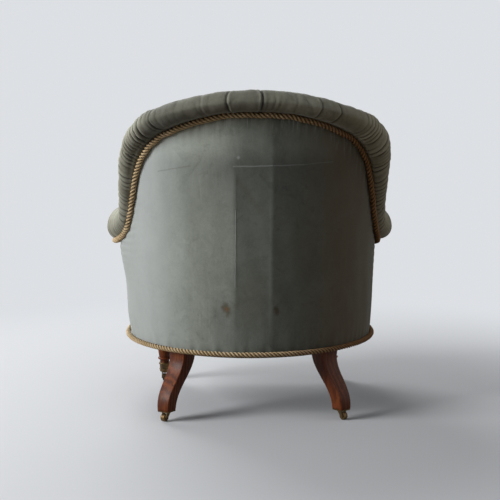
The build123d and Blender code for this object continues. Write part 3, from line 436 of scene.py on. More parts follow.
def blended(mask, a, b, mode="MIX"):
    """Colour a changed into b by the mask."""
    tree = next(given.tree for given in (mask, a, b) if isinstance(given, Value))
    made = node(tree, "Mix", data_type="RGBA", blend_type=mode)
    for name, given in (("Factor", mask), ("A", a), ("B", b)):
        join(next(s for s in made.inputs if s.name == name and s.enabled), given)
    return Value(tree, next(s for s in made.outputs if s.enabled))


def shaded(colour, shade):
    """The colour times a value or another colour."""
    return blended(1.0, colour, shade, mode="MULTIPLY")


def mixed(mask, a, b):
    """Number a changed into b by the mask."""
    return value(mask.tree, "Mix", {0: mask, 2: a, 3: b})


def ramp(given, *stops):
    """Value carried through (place, level) stops."""
    made = node(given.tree, "ValToRGB", {0: given})
    elements = made.color_ramp.elements
    while len(elements) < len(stops):
        elements.new(0.5)
    for element, (place, level) in zip(elements, stops):
        element.position = place
        element.color = (level, level, level, 1)
    return Value(given.tree, made.outputs[0])


def between(given, low, high):
    """From 0 at low to 1 at high, level at both ends."""
    return value(given.tree, "MapRange", {"Value": given, "From Min": low, "From Max": high}, "Result",
                 interpolation_type="SMOOTHSTEP")


def cloud(place, scale, detail=3.0, roughness=0.55, distortion=0.0):
    """Soft noise between 0 and 1."""
    return value(place.tree, "TexNoise", {"Vector": place, "Scale": scale, "Detail": detail,
                                          "Roughness": roughness, "Distortion": distortion}, "Fac")


def axes(place):
    """The three numbers of a place."""
    return [Value(place.tree, socket) for socket in node(place.tree, "SeparateXYZ", {0: place}).outputs]


def mark(place, name):
    """A mark that was left in the mesh."""
    return value(place.tree, "Attribute", None, "Fac", attribute_name=name)


def group(name, inputs, recipe):
    """New shader group. The recipe turns its named inputs into its named outputs."""
    tree = bpy.data.node_groups.new(name, "ShaderNodeTree")
    for label, kind, default in inputs:
        socket = tree.interface.new_socket(label, in_out="INPUT", socket_type="NodeSocket" + kind)
        if default is not None:
            socket.default_value = default
    given = tree.nodes.new("NodeGroupInput").outputs
    results = recipe(*[Value(tree, given[label]) for label, _, _ in inputs])
    for label in results:
        tree.interface.new_socket(label, in_out="OUTPUT", socket_type="NodeSocketFloat")
    out = tree.nodes.new("NodeGroupOutput")
    for label, result in results.items():
        join(out.inputs[label], result)
    return tree


def used(made_group, **inputs):
    """Outputs of a group that is put in the tree of its place, by name."""
    tree = inputs["Place"].tree
    made = node(tree, "Group", inputs, node_tree=made_group)
    return {socket.name: Value(tree, socket) for socket in made.outputs}


def nap(place):
    """How the pile of velvet lies: brushed patches, broken streaks, fine mottling and a short pile."""
    patch = cloud(place, 6.0, 4.0, 0.6, 1.2) * 0.6 + cloud(place, 24.0, 5.0, 0.7, 1.6) * 0.4
    streak = cloud(place.vector("MULTIPLY", (75, 75, 9)), 1.0, 5.0, 0.75, 0.7) - 0.5
    broken = between(cloud(place, 11.0, 3.0), 0.40, 0.62)
    mottle = cloud(place, 210.0, 5.0, 0.8, 0.4) - 0.5
    pile = cloud(place, 900.0, 2.0) * 0.6 + cloud(place, 170.0, 4.0, 0.75) * 0.4
    return {"Patch": patch, "Streaks": streak * broken, "Mottle": mottle, "Pile": pile}


def ragged(place, amount, scale=60.0):
    """The place, shifted about by fine noise, without its depth."""
    colour = value(place.tree, "TexNoise", {"Vector": place, "Scale": scale, "Detail": 4.0}, "Color")
    shift = colour.vector("SUBTRACT", (0.5, 0.5, 0.5)).vector("SCALE", amount)
    return place.vector("ADD", shift).vector("MULTIPLY", (1, 0, 1))


def soft_spot(place, centre, stretch, size, rough):
    """Soft ragged spot seen from the back, for a stain or a rubbed patch."""
    apart = ragged(place, rough).vector("SUBTRACT", centre).vector("MULTIPLY", stretch)
    mask = (1.0 - apart.vector("LENGTH").calculated("DIVIDE", size)).clamped()
    return {"Mask": between(mask, 0.0, 0.8)}


def thin_line(place, start, end, width, rough):
    """Thin uneven line between two places, seen from the back, for a crease in the pile."""
    apart = ragged(place, rough, 25.0).vector("SUBTRACT", start)
    run = end.vector("SUBTRACT", start)
    share = apart.vector("DOT_PRODUCT", run).calculated("DIVIDE", run.vector("DOT_PRODUCT", run)).clamped()
    rest = apart.vector("SUBTRACT", run.vector("SCALE", share))
    mask = (1.0 - rest.vector("LENGTH").calculated("DIVIDE", width)).clamped()
    return {"Mask": between(mask, 0.0, 0.9)}


def wood_grain(place, stretch):
    """Wood figure along one axis: growth bands, pores and broad colour changes."""
    place = place.vector("MULTIPLY", stretch)
    bands = value(place.tree, "TexWave", {"Vector": place, "Scale": 38.0, "Distortion": 9.0, "Detail": 4.0,
                                          "Detail Scale": 1.4, "Detail Roughness": 0.6}, "Fac",
                  bands_direction="DIAGONAL")
    pores, broad = cloud(place, 900.0, 2.0, 0.5), cloud(place, 26.0, 3.0, 0.5, 0.6)
    return {"Bands": bands, "Pores": pores, "Broad": broad}


def plain_weave(place, threads):
    """Plain weave from two sets of threads."""
    x, y, z = axes(place)
    pace = threads * (2 * pi)
    height = (x * pace).calculated("SINE") * ((y + z) * pace).calculated("SINE")
    return {"Height": height, "Slub": cloud(place, 120.0, 4.0, 0.5)}


def tarnish(place):
    """Uneven dark patches and fine scratches on old metal."""
    return {"Dark": cloud(place, 90.0, 6.0, 0.65, 0.5),
            "Scratch": cloud(place.vector("MULTIPLY", (1, 1, 0.15)), 900.0, 2.0, 0.5)}


PLACE = ("Place", "Vector", None)
NAP = group("velvet nap", [PLACE], nap)
SPOT = group("soft spot", [PLACE, ("Centre", "Vector", None), ("Stretch", "Vector", (1.0, 1.0, 1.0)),
                           ("Size", "Float", 0.03), ("Ragged", "Float", 0.02)], soft_spot)
LINE = group("thin line", [PLACE, ("Start", "Vector", None), ("End", "Vector", None),
                           ("Width", "Float", 0.0015), ("Ragged", "Float", 0.004)], thin_line)
GRAIN = group("wood grain", [PLACE, ("Stretch", "Vector", (1.0, 1.0, 0.08))], wood_grain)
WEAVE = group("plain weave", [PLACE, ("Threads", "Float", 500.0)], plain_weave)
TARNISH = group("tarnish", [PLACE], tarnish)


# ---- finishes ------------------------------------------------------------------------------------
def finish(name):
    """New material; returns it with its Principled shader and its Object coordinates."""
    material = bpy.data.materials.new(name)
    material.use_nodes = True
    tree = material.node_tree
    tree.nodes.clear()
    shader = node(tree, "BsdfPrincipled")
    node(tree, "OutputMaterial", {0: Value(tree, shader.outputs[0])})
    return material, shader, value(tree, "TexCoord", None, "Object")


def feed(shader, height=None, strength=0.3, distance=0.001, **inputs):
    """Set or link a shader's inputs, and bump it by a height."""
    for key, given in inputs.items():
        join(shader.inputs[key.replace("_", " ")], given)
    if height is not None:
        settings = {"Height": height, "Strength": strength, "Distance": distance}
        join(shader.inputs["Normal"], value(height.tree, "Bump", settings))


def velvet(name, base, pale, deep, folds=0.0, tints=None):
    """Worn cotton velvet: a matt ground, painted sheen (a paler colour at grazing angles), rubbed and
    flattened patches, and on folds painted shade in the valleys and painted light on the ridges.
    """
    material, shader, place = finish(name)
    lie = used(NAP, Place=place)
    colour = blended(between(lie["Patch"], 0.36, 0.62), base, pale)
    dark_patch = between(cloud(place, 15.0, 5.0, 0.7, 1.4), 0.54, 0.70)
    colour = blended(dark_patch * 0.38, colour, deep)
    streak = (lie["Streaks"] * 2.2 + 0.5).clamped()
    colour = blended(0.30, colour, blended(streak, deep, pale))
    mottle = (lie["Mottle"] * 1.6 + 0.5).clamped()
    colour = blended(0.27, colour, blended(mottle, deep, pale))
    height = lie["Pile"] + lie["Streaks"] * 0.8
    if folds:
        # Painted shade in the valleys of folds, pleats and tufts, painted light on their ridges.
        colour = blended((mark(place, "painted_fold_shade") * folds).clamped(), colour, deep)
        colour = blended((mark(place, "painted_fold_light") * 0.70).clamped(), colour, pale)
    if tints:
        colour, raised = tints(place, colour)
        height = height + raised
    # Painted sheen: the colour turns paler at grazing angles.
    painted_sheen = value(place.tree, "LayerWeight", {"Blend": 0.35}, "Facing").calculated("POWER", 2.5) * 0.35
    colour = blended(painted_sheen, colour, [min(1, c * 1.15) for c in pale])
    feed(shader, height, 0.5, 0.0012, Base_Color=colour, Roughness=0.85, Specular_IOR_Level=0.12,
         Sheen_Weight=0.18, Sheen_Roughness=0.5, Sheen_Tint=(0.86, 0.90, 0.86))
    return material


def roll_tints(place, colour):
    """The roll's colour, mostly painted light and shade: painted shade by the rope and at the left shoulder,
    browner at the right (fade and painted shade), painted light over the right half, at both outer edges and
    along the arms.
    """
    # Painted shade: darker towards the rope, under the roll's overhang.
    colour = shaded(colour, mark(place, "rim") * -0.55 + 1.0)
    x, _, z = axes(place)
    # Browner towards the right: fade and painted shade.
    brown = between(x * -1.0, 0.08, 0.26) * 0.45
    colour = blended(brown, colour, shaded(colour, (1.0, 0.84, 0.64)))
    # Painted shade at the left shoulder.
    dark = between(x, 0.10, 0.20) * between(z, 0.60, 0.68) * (1.0 - between(x, 0.235, 0.285))
    colour = shaded(colour, dark * -0.36 + 1.0)
    # Painted light: lighter over the right half and at both outer edges.
    edge = between(x.calculated("ABSOLUTE"), 0.225, 0.290)
    right = between(x * -1.0, 0.0, 0.09)
    colour = shaded(colour, right * 0.65 + (edge * 0.60 + 1.0))
    # Painted light: a little lighter along the arms.
    arm = 1.0 - between(z, 0.46, 0.60)
    return shaded(colour, arm * 0.10 + 1.0), 0.0


def back_tints(place, colour):
    """The back's colour: three strips of nap brushed different ways with painted light and shade over them, a
    paler painted light on the lit left, a brown fade with painted shade on the right, creases, stains,
    strokes.
    """
    x, _, z = axes(place)
    x = x + (cloud(place, 18.0, 3.0) - 0.5) * 0.008
    # Three strips of nap; their levels also hold painted light and shade.
    left_low = between(x, STRIP_LEFT_X - 0.006, STRIP_LEFT_X + 0.004)
    left_high = between(x, STRIP_LEFT_X - 0.030, STRIP_LEFT_X + 0.050)
    left = mixed(between(z, 0.56, 0.61), left_low, left_high)
    right = 1.0 - between(x, STRIP_RIGHT_X - 0.006, STRIP_RIGHT_X + 0.005)
    # Painted light: lighter towards the far right, against the fall of light round the curve.
    far_right = 1.0 - between(x, -0.130, STRIP_RIGHT_X)
    shade = left * 0.33 + 0.72 - right * 0.20 + far_right * 0.12
    # Painted shade darker upwards from mid height, and painted light in the last few centimetres under the
    # roll.
    shade = shade * (between(z, 0.42, 0.68) * -0.28 + 1.04) * (between(z, 0.605, 0.665) * 0.70 + 1.0)
    # Below about 0.3 m only painted light and shade, in place of the strips: lighter to the left, darker to
    # the right.
    even = between(x, -0.06, 0.16) * 0.38 + 0.64
    colour = shaded(colour, mixed(between(z, 0.25, 0.34), even, shade))
    # Painted light: the lit left side paler and cooler.
    colour = blended(between(x, 0.12, 0.27) * 0.60, colour, RUBBED_AND_LIT)
    # Browner towards the right: fade and painted shade.
    fade = between(x * -1.0, 0.07, 0.22) * (cloud(place, 14.0, 4.0, 0.65) * 0.7 + 0.45)
    colour = blended((fade * 0.85).clamped(), colour, FADED_AND_SHADED)
    stroke = between(cloud(place.vector("MULTIPLY", (170, 170, 12)), 1.0, 4.0, 0.7), 0.52, 0.66)
    colour = blended(mark(place, "rim") * stroke * 0.85, colour, RUBBED_AND_LIT)
    for centre, stretch, size, rough, strength, tint in BACK_SPOTS:
        mask = used(SPOT, Place=place, Centre=centre, Stretch=stretch, Size=size, Ragged=rough)["Mask"]
        colour = blended(mask * strength, colour, tint)
    raised = 0.0
    for start, end, width, strength, tint in BACK_LINES:
        mask = used(LINE, Place=place, Start=start, End=end, Width=width)["Mask"]
        colour = blended(mask * strength, colour, tint)
        if tint is RUBBED_AND_LIT:
            raised = mask * 0.7 + raised
    return colour, raised


def gold_rope():
    """Gold yarn, with painted shade between its yarns and deeper in the grooves between its strands, and
    painted shade towards the chair's right side.
    """
    material, shader, place = finish("gold rope")
    along, around, _ = axes(value(place.tree, "UVMap", uv_map="surface"))
    yarn = ((along * 1.1 + around * 6.0) * pi).calculated("SINE").calculated("ABSOLUTE")
    fuzz = cloud(place, 700.0, 3.0, 0.5)
    worn = ramp(cloud(place, 28.0, 4.0, 0.5), (0.35, 0.0), (0.7, 1.0))
    colour = blended(worn, (0.55, 0.40, 0.22), (0.78, 0.63, 0.41))
    # Painted shade between the yarns and in the grooves between the strands.
    colour = blended((1.0 - yarn) * 0.6, colour, (0.22, 0.090, 0.022))
    colour = blended(ramp(mark(place, "groove"), (0.28, 0.0), (0.85, 1.0)), colour, (0.035, 0.013, 0.005))
    colour = blended(fuzz * 0.35, colour, (0.76, 0.58, 0.31))
    # Painted shade towards the chair's right side.
    painted_shade_right = between(axes(place)[0] * -1.0, -0.02, 0.26)
    colour = blended(painted_shade_right, colour, shaded(colour, (0.50, 0.34, 0.22)))
    feed(shader, yarn + fuzz * 0.7, 0.8, 0.0006, Base_Color=colour, Roughness=0.6, Specular_IOR_Level=0.25)
    return material


def wood(name, light, dark, stretch, polish, gloss):
    material, shader, place = finish(name)
    grain = used(GRAIN, Place=place, Stretch=stretch)
    colour = blended(ramp(grain["Bands"], (0.15, 0.0), (0.85, 1.0)), dark, light)
    broad = [0.55 * a + 0.1 * b for a, b in zip(dark, light)]
    colour = blended(ramp(grain["Broad"], (0.35, 0.0), (0.7, 0.7)), colour, broad)
    pores = ramp(grain["Pores"], (0.36, 1.0), (0.46, 0.0))
    colour = blended(pores * 0.6, colour, [c * 0.35 for c in dark])
    feed(shader, pores * -1.0, 0.25, 0.0004, Base_Color=colour, Roughness=grain["Broad"] * 0.18 + gloss,
         Coat_Weight=polish, Coat_Roughness=0.3, Specular_IOR_Level=0.12)
    return material


def cloth(name, light, dark, threads):
    material, shader, place = finish(name)
    weave = used(WEAVE, Place=place, Threads=threads)
    colour = blended(ramp(weave["Slub"], (0.3, 0.0), (0.75, 1.0)), dark, light)
    # Painted shade in the low places of the weave.
    low = ((0.5 - weave["Height"]) * 0.4).clamped()
    colour = blended(low, colour, [c * 0.35 for c in dark])
    feed(shader, weave["Height"], 0.5, 0.0008, Base_Color=colour, Roughness=0.9, Specular_IOR_Level=0.2)
    return material


def metal(name, bright, dull, rough):
    material, shader, place = finish(name)
    aged = used(TARNISH, Place=place)
    dark = ramp(aged["Dark"], (0.34, 0.0), (0.66, 1.0))
    feed(shader, aged["Scratch"], 0.12, 0.0003, Base_Color=blended(dark, bright, dull),
         Roughness=dark * 0.28 + rough, Metallic=1.0 - dark * 0.25)
    return material


def stuffing():
    material, shader, place = finish("curled hair stuffing")
    hair = cloud(place, 130.0, 8.0, 0.8, 2.5)
    colour = blended(ramp(hair, (0.35, 0.0), (0.65, 1.0)), (0.08, 0.05, 0.03), (0.42, 0.33, 0.22))
    feed(shader, hair, 0.9, 0.004, Base_Color=colour, Roughness=0.95)
    return material


SAGE = (0.228, 0.255, 0.226)
SAGE_PALE = (0.325, 0.358, 0.325)
SAGE_DEEP = (0.075, 0.082, 0.064)
# The roll's velvet: the sage velvet made darker and more olive, as painted shade over the whole roll.
ROLL_SHADED_VELVET = (0.180, 0.176, 0.132)
ROLL_SHADED_VELVET_PALE = (0.310, 0.312, 0.258)
ROLL_SHADED_VELVET_DEEP = (0.016, 0.015, 0.010)
# Pale colour of rubbed pile, also used as painted light on the lit left side.
RUBBED_AND_LIT = (0.470, 0.510, 0.525)
# Brown of faded velvet, also painted shade on the back's right side.
FADED_AND_SHADED = (0.135, 0.100, 0.058)
RUST = (0.230, 0.115, 0.040)
GRUBBY = (0.105, 0.092, 0.064)
SMEAR = (0.070, 0.050, 0.030)
STRIP_LEFT_X = 0.045
STRIP_RIGHT_X = -0.037
STRIP_MIDDLE = (STRIP_LEFT_X + STRIP_RIGHT_X) / 2
STRIP_HALF = (STRIP_LEFT_X - STRIP_RIGHT_X) / 2
# Stains and rubbed places on the back: centre, stretch, size, how ragged, strength and colour.
BACK_SPOTS = (((0.070, 0, 0.281), (1.5, 1, 0.9), 0.018, 0.018, 0.75, GRUBBY),
              ((0.062, 0, 0.269), (1.7, 1, 0.9), 0.017, 0.018, 0.75, GRUBBY),
              ((0.066, 0, 0.276), (1.0, 1, 1.0), 0.009, 0.010, 0.50, RUST),
              ((-0.050, 0, 0.273), (1.4, 1, 0.9), 0.016, 0.018, 0.75, SMEAR),
              ((0.040, 0, 0.632), (1.2, 1, 1.0), 0.006, 0.006, 0.50, RUBBED_AND_LIT),
              ((0.010, 0, 0.300), (1.0, 1, 0.5), 0.060, 0.060, 0.25, GRUBBY),
              ((-0.110, 0, 0.420), (1.0, 1, 0.6), 0.070, 0.080, 0.22, GRUBBY))
# Creases and smudges on the back: start, end, width, strength and colour.
BACK_LINES = (((0.050, 0, 0.611), (-0.038, 0, 0.613), 0.0026, 0.38, RUBBED_AND_LIT),
              ((-0.042, 0, 0.613), (-0.110, 0, 0.615), 0.0022, 0.26, RUBBED_AND_LIT),
              ((-0.110, 0, 0.615), (-0.180, 0, 0.620), 0.0018, 0.16, RUBBED_AND_LIT),
              ((0.149, 0, 0.612), (0.225, 0, 0.598), 0.0024, 0.30, GRUBBY),
              ((0.045, 0, 0.510), (0.046, 0, 0.330), 0.0018, 0.30, RUBBED_AND_LIT),
              ((0.040, 0, 0.579), (-0.010, 0, 0.510), 0.0130, 0.22, GRUBBY),
              ((0.043, 0, 0.590), (0.042, 0, 0.330), 0.0026, 0.30, SAGE_DEEP))


# ---- velvet pieces -------------------------------------------------------------------------------
def back_relief(station, z, across):
    """How far the outer velvet stands out: a flat strip down the middle, then folds, tucks and puckers."""
    chord = np.clip(1 - np.abs(across - STRIP_MIDDLE) / STRIP_HALF, 0, 1)
    strip = -0.0024 * np.sqrt(1 - (1 - chord) ** 2) * ease(0.18, 0.27, z) * (1 - ease(0.58, 0.67, z))
    up = np.clip(smooth(SEAM_LINE, station) - z, 0, None)
    down = np.clip(z - RAIL_BASE_Z - 0.013, 0, None)
    folds = 0.0009 * ripple(across, z * 0.1, 3, 0.014) * np.exp(-up / 0.022)
    folds += 0.0008 * ripple(across, z * 0.1, 4, 0.019) * np.exp(-down / 0.018)
    folds -= 0.0018 * np.exp(-up / 0.012) + 0.0012 * np.exp(-down / 0.010)
    side = ease(50, 66, np.abs(station))
    folds += side * 0.0008 * np.sin(z * 330 + across * 20 + ripple(across, z, 8, 0.12)) * np.exp(-up / 0.05)
    pulls = 0.0006 * ripple(across, z * 0.35, 5, 0.075) + 0.0009 * ripple(across * 0.6, z, 6, 0.22)
    full = (0.004 * ease(0.17, 0.23, z) + 0.010 * ease(0.29, 0.405, z)) * ease(58, 82, station)
    return strip + pulls + full * (1 - ease(97, END_STATION - 1, station)), folds


def velvet_back(material):
    """Outer cover: one sheet stretched from arm front to arm front, from under the roll to the rails."""
    stations = spread_stations(0.0045, 0.0028, 44, 70)
    shares = np.linspace(0, 1, 130)
    top = smooth(SEAM_LINE, stations) + 0.004
    z = RAIL_BASE_Z + (top - RAIL_BASE_Z)[:, None] * shares
    column = stations[:, None] + 0 * z
    flat, folds = back_relief(column, z, np.radians(column) * BACK_RADIUS)
    stand = flat + folds
    outer = wall_point(column, z, -0.0002 - stand)
    thin = slice(None, None, -16)
    inner = wall_point(column[:, thin], z[:, thin], 0.0018 - stand[:, thin])
    rim = np.exp(-np.clip(top[:, None] - z, 0, None) / 0.020)
    # Marks for painted shade in the fold valleys and painted light on the fold ridges.
    marks = {"painted_fold_shade": np.clip(-folds * 350, 0, 1), "painted_fold_light": np.clip(folds * 420, 0, 1), "rim": rim}
    piece = backed("velvet_back", outer, inner, marks)
    dress(piece, material, "velvet", "outer_cover")
    return piece


# Pleats of the roll: station by the rope, station over the inside back, depth.
ROLL_PLEATS = ((36.0, 40.0, 0.9), (17.0, 20.0, 0.25), (8.6, 6.0, 0.8), (-0.7, 0.0, 1.2), (-20.5, -18.0, 0.7),
               (-27.5, -24.0, 0.95), (-39.0, -40.0, 0.35), (-12.0, -11.0, 0.15),
               (45.0, 45.0, 0.8), (53.0, 51.5, 0.9), (-46.0, -45.0, 0.8), (-52.0, -50.0, 1.6),
               (66.0, 62.0, 0.8), (-65.0, -61.0, 0.8), (78.0, 75.0, 0.7), (-79.0, -76.0, 0.7),
               (88.0, 89.0, 0.6), (-89.0, -88.0, 0.6), (97.5, 98.0, 0.7), (-96.5, -98.0, 0.7),
               (105.0, 105.0, 0.5), (-104.5, -105.0, 0.5))


def roll_pleats(station, share, metres):
    """Sharp pleats: relief, how much painted shade goes in their lines, and how much painted light on the
    lips beside them.
    """
    stand, line, lip = 0 * share, 0 * share, 0 * share
    for outer, inner, depth in ROLL_PLEATS:
        bend = 1.3 * np.sin(pi * np.clip(share / 0.6, 0, 1)) * np.sign(outer)
        apart = (station - (outer + (inner - outer) * ease(0.25, 0.9, share) + bend)) * metres
        reach = depth * (0.6 + 0.4 * np.abs(np.cos(pi * share)))
        near = np.exp(-(np.abs(apart) / 0.0021) ** 1.5)
        lap = bump(apart, -np.sign(outer) * 0.0042, 0.0024)
        stand = stand - 0.0034 * reach * near + 0.0010 * reach * lap
        stand = stand - 0.0007 * reach * np.exp(-np.abs(apart) / 0.010)
        line = np.maximum(line, reach * near)
        lip = np.maximum(lip, reach * lap)
    return stand, line, lip


def roll_gathers(station, share, length):
    """Merging folds, dense at the shoulders and soft along the arms: relief, and how much painted shade goes
    in their lines.
    """
    side = np.abs(station)
    dense = ease(34, 47, side) * (1 - ease(64, 80, side))
    arm = ease(64, 76, side)
    pitch = np.interp(side[:, 0], [0, 38, 46, 62, 75, 110], [0.021, 0.018, 0.0115, 0.0115, 0.016, 0.018])
    phase = np.concatenate([[0], np.cumsum(np.diff(length[:, 0]) / pitch[1:])])[:, None]
    warp = 0.75 * ripple(length, share * 0.09, 11, 0.070) + 0.8 * ripple(length, share * 0.03, 12, 0.16)
    wave = np.abs(np.sin(pi * (phase + warp)))
    uneven = np.clip(0.70 + 0.8 * ripple(length, share * 0.10, 13, 0.035), 0.08, 1.6)
    fade = 1 - 0.70 * ease(0.38, 0.75, share) + 0.25 * ease(0.8, 1.0, share)
    deep = (0.0054 * dense + 0.0016 * arm + 0.0006) * uneven * fade
    line = np.exp(-wave / 0.20) * np.clip(deep / 0.0030, 0, 1)
    return (wave ** 0.65 - 0.66) * deep, line


def velvet_roll(material):
    """The roll over the back and arms, in one length, pleated over its stuffing."""
    stations = spread_stations(0.0016, 0.0012, 42, 76)
    count = 64
    length = seam_lengths(stations)[:, None] + np.zeros(count)
    share = np.linspace(0, 1, count)[None, :] + 0 * length
    column = stations[:, None] + 0 * length
    metres = (np.gradient(length[:, 0]) / np.gradient(stations))[:, None]
    pleats, line, lip = roll_pleats(column, share, metres)
    gathers, gather_shade = roll_gathers(column, share, length)
    outside = 1 - ease(0.35, 0.6, share)
    uneven = (0.0090 * bump(column, -52, 9) - 0.0060 * bump(column, 52, 9)) * outside
    stand = pleats + gathers + uneven + 0.0008 * ripple(length, share * 0.2, 14, 0.05)
    stand = stand * ease(0.0, 0.035, share) * ease(1.0, 0.97, share)
    outline = roll_outlines(stations, count)
    ahead = np.gradient(outline, axis=1)
    ahead /= np.linalg.norm(ahead, axis=-1, keepdims=True)
    skin = outline + np.stack([ahead[..., 1], -ahead[..., 0]], -1) * stand[..., None]
    base = outline[:, -1:] + (outline[:, :1] - outline[:, -1:]) * np.linspace(0.2, 0.8, 4)[None, :, None]
    section = np.concatenate([skin, base], axis=1)
    origin, outwards, up = seam_axes(stations, ROLL_TILT, ROLL_LIFT)
    rings = origin[:, None] + section[..., :1] * outwards[:, None] + section[..., 1:] * up[:, None]
    # Marks for painted shade in pleat and gather lines and by the rope, painted light on the pleats' lips and
    # the ridges.
    marks = {"painted_fold_shade": np.clip(line * 1.1 + gather_shade - gathers * 120, 0, 1),
             "painted_fold_light": np.clip(lip * 1.1 + gathers * 800, 0, 1), "rim": 1 - ease(0.02, 0.34, share)}
    piece = backed("velvet_roll", rings[:, :count], rings[:, count:], marks)
    dress(piece, material, "velvet", "top_roll", "arm_roll_left", "arm_roll_right")
    return piece


def button_spots():
    return [(station, height - BUTTON_ARCH * station ** 2) for height, row in BUTTON_ROWS for station in row]


def tuft_folds():
    """Ends of the folds between the buttons, up to the roll and down to the seat, as (station, height)."""
    spots = [[(s, h - BUTTON_ARCH * s * s) for s in row] for h, row in BUTTON_ROWS]
    folds = []
    for upper, lower in zip(spots[:-1], spots[1:]):
        folds += [(a, b) for a in upper for b in lower if abs(a[0] - b[0]) < 11]
    folds += [(a, (a[0], 0.74)) for a in spots[0]]
    for row in spots[1:3]:
        folds += [(a, (a[0] * 1.02, a[1] + 0.2)) for a in (row[0], row[-1])]
    folds += [(a, (a[0] * 1.3, a[1] - 0.02)) for a in (spots[2][0], spots[2][-1])]
    folds += [(a, (a[0] * 1.04, SEAT_BASE_Z)) for a in spots[3]]
    return folds


def tuft_relief(station, z):
    """Relief of the deep-buttoned padding over its crowned face."""
    pace = radians(1) * 0.245
    x = station * pace
    nearest_fold = np.full(x.shape, 1.0)
    for (s0, z0), (s1, z1) in tuft_folds():
        x0, x1 = s0 * pace, s1 * pace
        run = (x1 - x0) ** 2 + (z1 - z0) ** 2
        t = np.clip(((x - x0) * (x1 - x0) + (z - z0) * (z1 - z0)) / run, 0, 1)
        nearest_fold = np.minimum(nearest_fold, np.hypot(x - x0 - t * (x1 - x0), z - z0 - t * (z1 - z0)))
    nearest_button = np.full(x.shape, 1.0)
    for s, h in button_spots():
        nearest_button = np.minimum(nearest_button, np.hypot(x - s * pace, z - h))
    tufted = 1 - ease(62, 82, np.abs(station))
    deep = 0.0035 + 0.0030 * np.exp(-nearest_button / 0.045)
    stand = tufted * (0.0045 - (0.0045 + deep) * np.exp(-nearest_fold / 0.0105))
    stand -= 0.0045 * np.exp(-(nearest_button / 0.015) ** 2)
    stand += 0.0009 * ripple(x, z, 21, 0.09) * (0.4 + np.exp(-nearest_button / 0.03))
    pleat = np.exp(-nearest_fold / 0.02) * 0.0006 * np.sin(nearest_button * 900)
    return stand + pleat


def buttoned_back(material):
    """Deep-buttoned padding round the inside of the tub."""
    half = np.concatenate([np.arange(0, 74, 0.26), np.linspace(74, END_STATION, 46)])
    stations = np.concatenate([-half[:0:-1], half])
    low = SEAT_BASE_Z + 0.0005
    high = seam_axes(stations, ROLL_TILT, ROLL_LIFT)[0][:, 2] - 0.0005
    share = np.linspace(0, 1, 104)
    z = low + (high - low)[:, None] * share
    column = stations[:, None] + 0 * z
    swell = INSIDE_CROWN * (1 - (2 * share - 1) ** 2)
    stand = tuft_relief(column, z) * ease(0, 0.03, share)[None, :] * ease(1.0, 0.985, share)[None, :]
    face = wall_point(column, z, wall_inset(column, z) + swell + stand - 0.0005)
    back_z = z[:, ::-17]
    behind = wall_point(column[:, ::-17], back_z, wall_inset(column[:, ::-17], back_z) - 0.0155)
    # Marks for painted shade in the tufts' dips and painted light on their puffs.
    marks = {"painted_fold_shade": np.clip(-stand * 170, 0, 1), "painted_fold_light": np.clip((stand - 0.002) * 160, 0, 1) * 0.5}
    piece = backed("buttoned_back", face, behind, marks)
    dress(piece, material, "velvet", "inside_back")
    return piece


def velvet_buttons(material):
    """Covered buttons in the dimples of the inside back."""
    bpy.ops.object.select_all(action="DESELECT")
    bpy.ops.mesh.primitive_cylinder_add(vertices=28, radius=BUTTON_RADIUS, depth=0.003,
                                        end_fill_type="TRIFAN")
    first = bpy.context.object
    work = bmesh.new()
    work.from_mesh(first.data)
    spokes = [e for e in work.edges if min(v.co.xy.length for v in e.verts) < 1e-6]
    bmesh.ops.subdivide_edges(work, edges=spokes, cuts=5)
    for vertex in work.verts:
        share = vertex.co.xy.length / BUTTON_RADIUS
        angle = np.arctan2(vertex.co.y, vertex.co.x)
        if vertex.co.z > 0:
            pinch = 0.00018 * cos(14 * angle) * share ** 3
            vertex.co.z = 0.0004 + 0.0034 * sqrt(max(0.0, 1 - 0.92 * share * share)) + pinch
        vertex.co.xy *= 1 + 0.012 * cos(14 * angle) * (share > 0.9)
    work.to_mesh(first.data)
    work.free()
    copies = []
    for station, z in button_spots():
        surface = wall_point(station, z, wall_inset(station, z) + 0.75 * INSIDE_CROWN - 0.0084)
        way = Vector(inwards(np.asarray(float(station))))
        copy = first.copy()
        copy.data = first.data.copy()
        bpy.context.scene.collection.objects.link(copy)
        copy.matrix_world = Matrix.LocRotScale(Vector(surface), way.to_track_quat("Z", "X"), None)
        copies.append(copy)
    bpy.data.objects.remove(first)
    only(*copies)
    bpy.ops.object.join()
    piece = copies[0]
    piece.name = piece.data.name = "velvet_buttons"
    placed(piece)
    bpy.ops.object.shade_smooth()
    dress(piece, material, "velvet", "back_buttons")
    return piece


SEAT_SNUG = 0.0165  # how much closer the seat comes to the inside back behind the facing ropes


def seat_outline(z, inset, front_y, count):
    """Level outline of the seat at a height: snug against the inside back, straight along the front."""
    stations = np.linspace(-END_STATION - 6, END_STATION + 6, 2400)
    edge = wall_point(stations, z, wall_inset(stations, z) + inset)
    snug = SEAT_SNUG * ease(ARM_FRONT_Y + 0.005, ARM_FRONT_Y + 0.030, edge[:, 1])
    edge = edge - inwards(stations) * snug[:, None]
    edge = edge[edge[:, 1] > front_y]
    corner_left, corner_right = edge[-1], edge[0]
    front = np.linspace(corner_left, corner_right, 200)[1:-1]
    front[:, 1] = front_y
    line = np.concatenate([edge, front, edge[:1]])
    return resampled(line, np.linalg.norm(np.diff(line, axis=0), axis=-1).sum() / (count + 0.5))[:count]


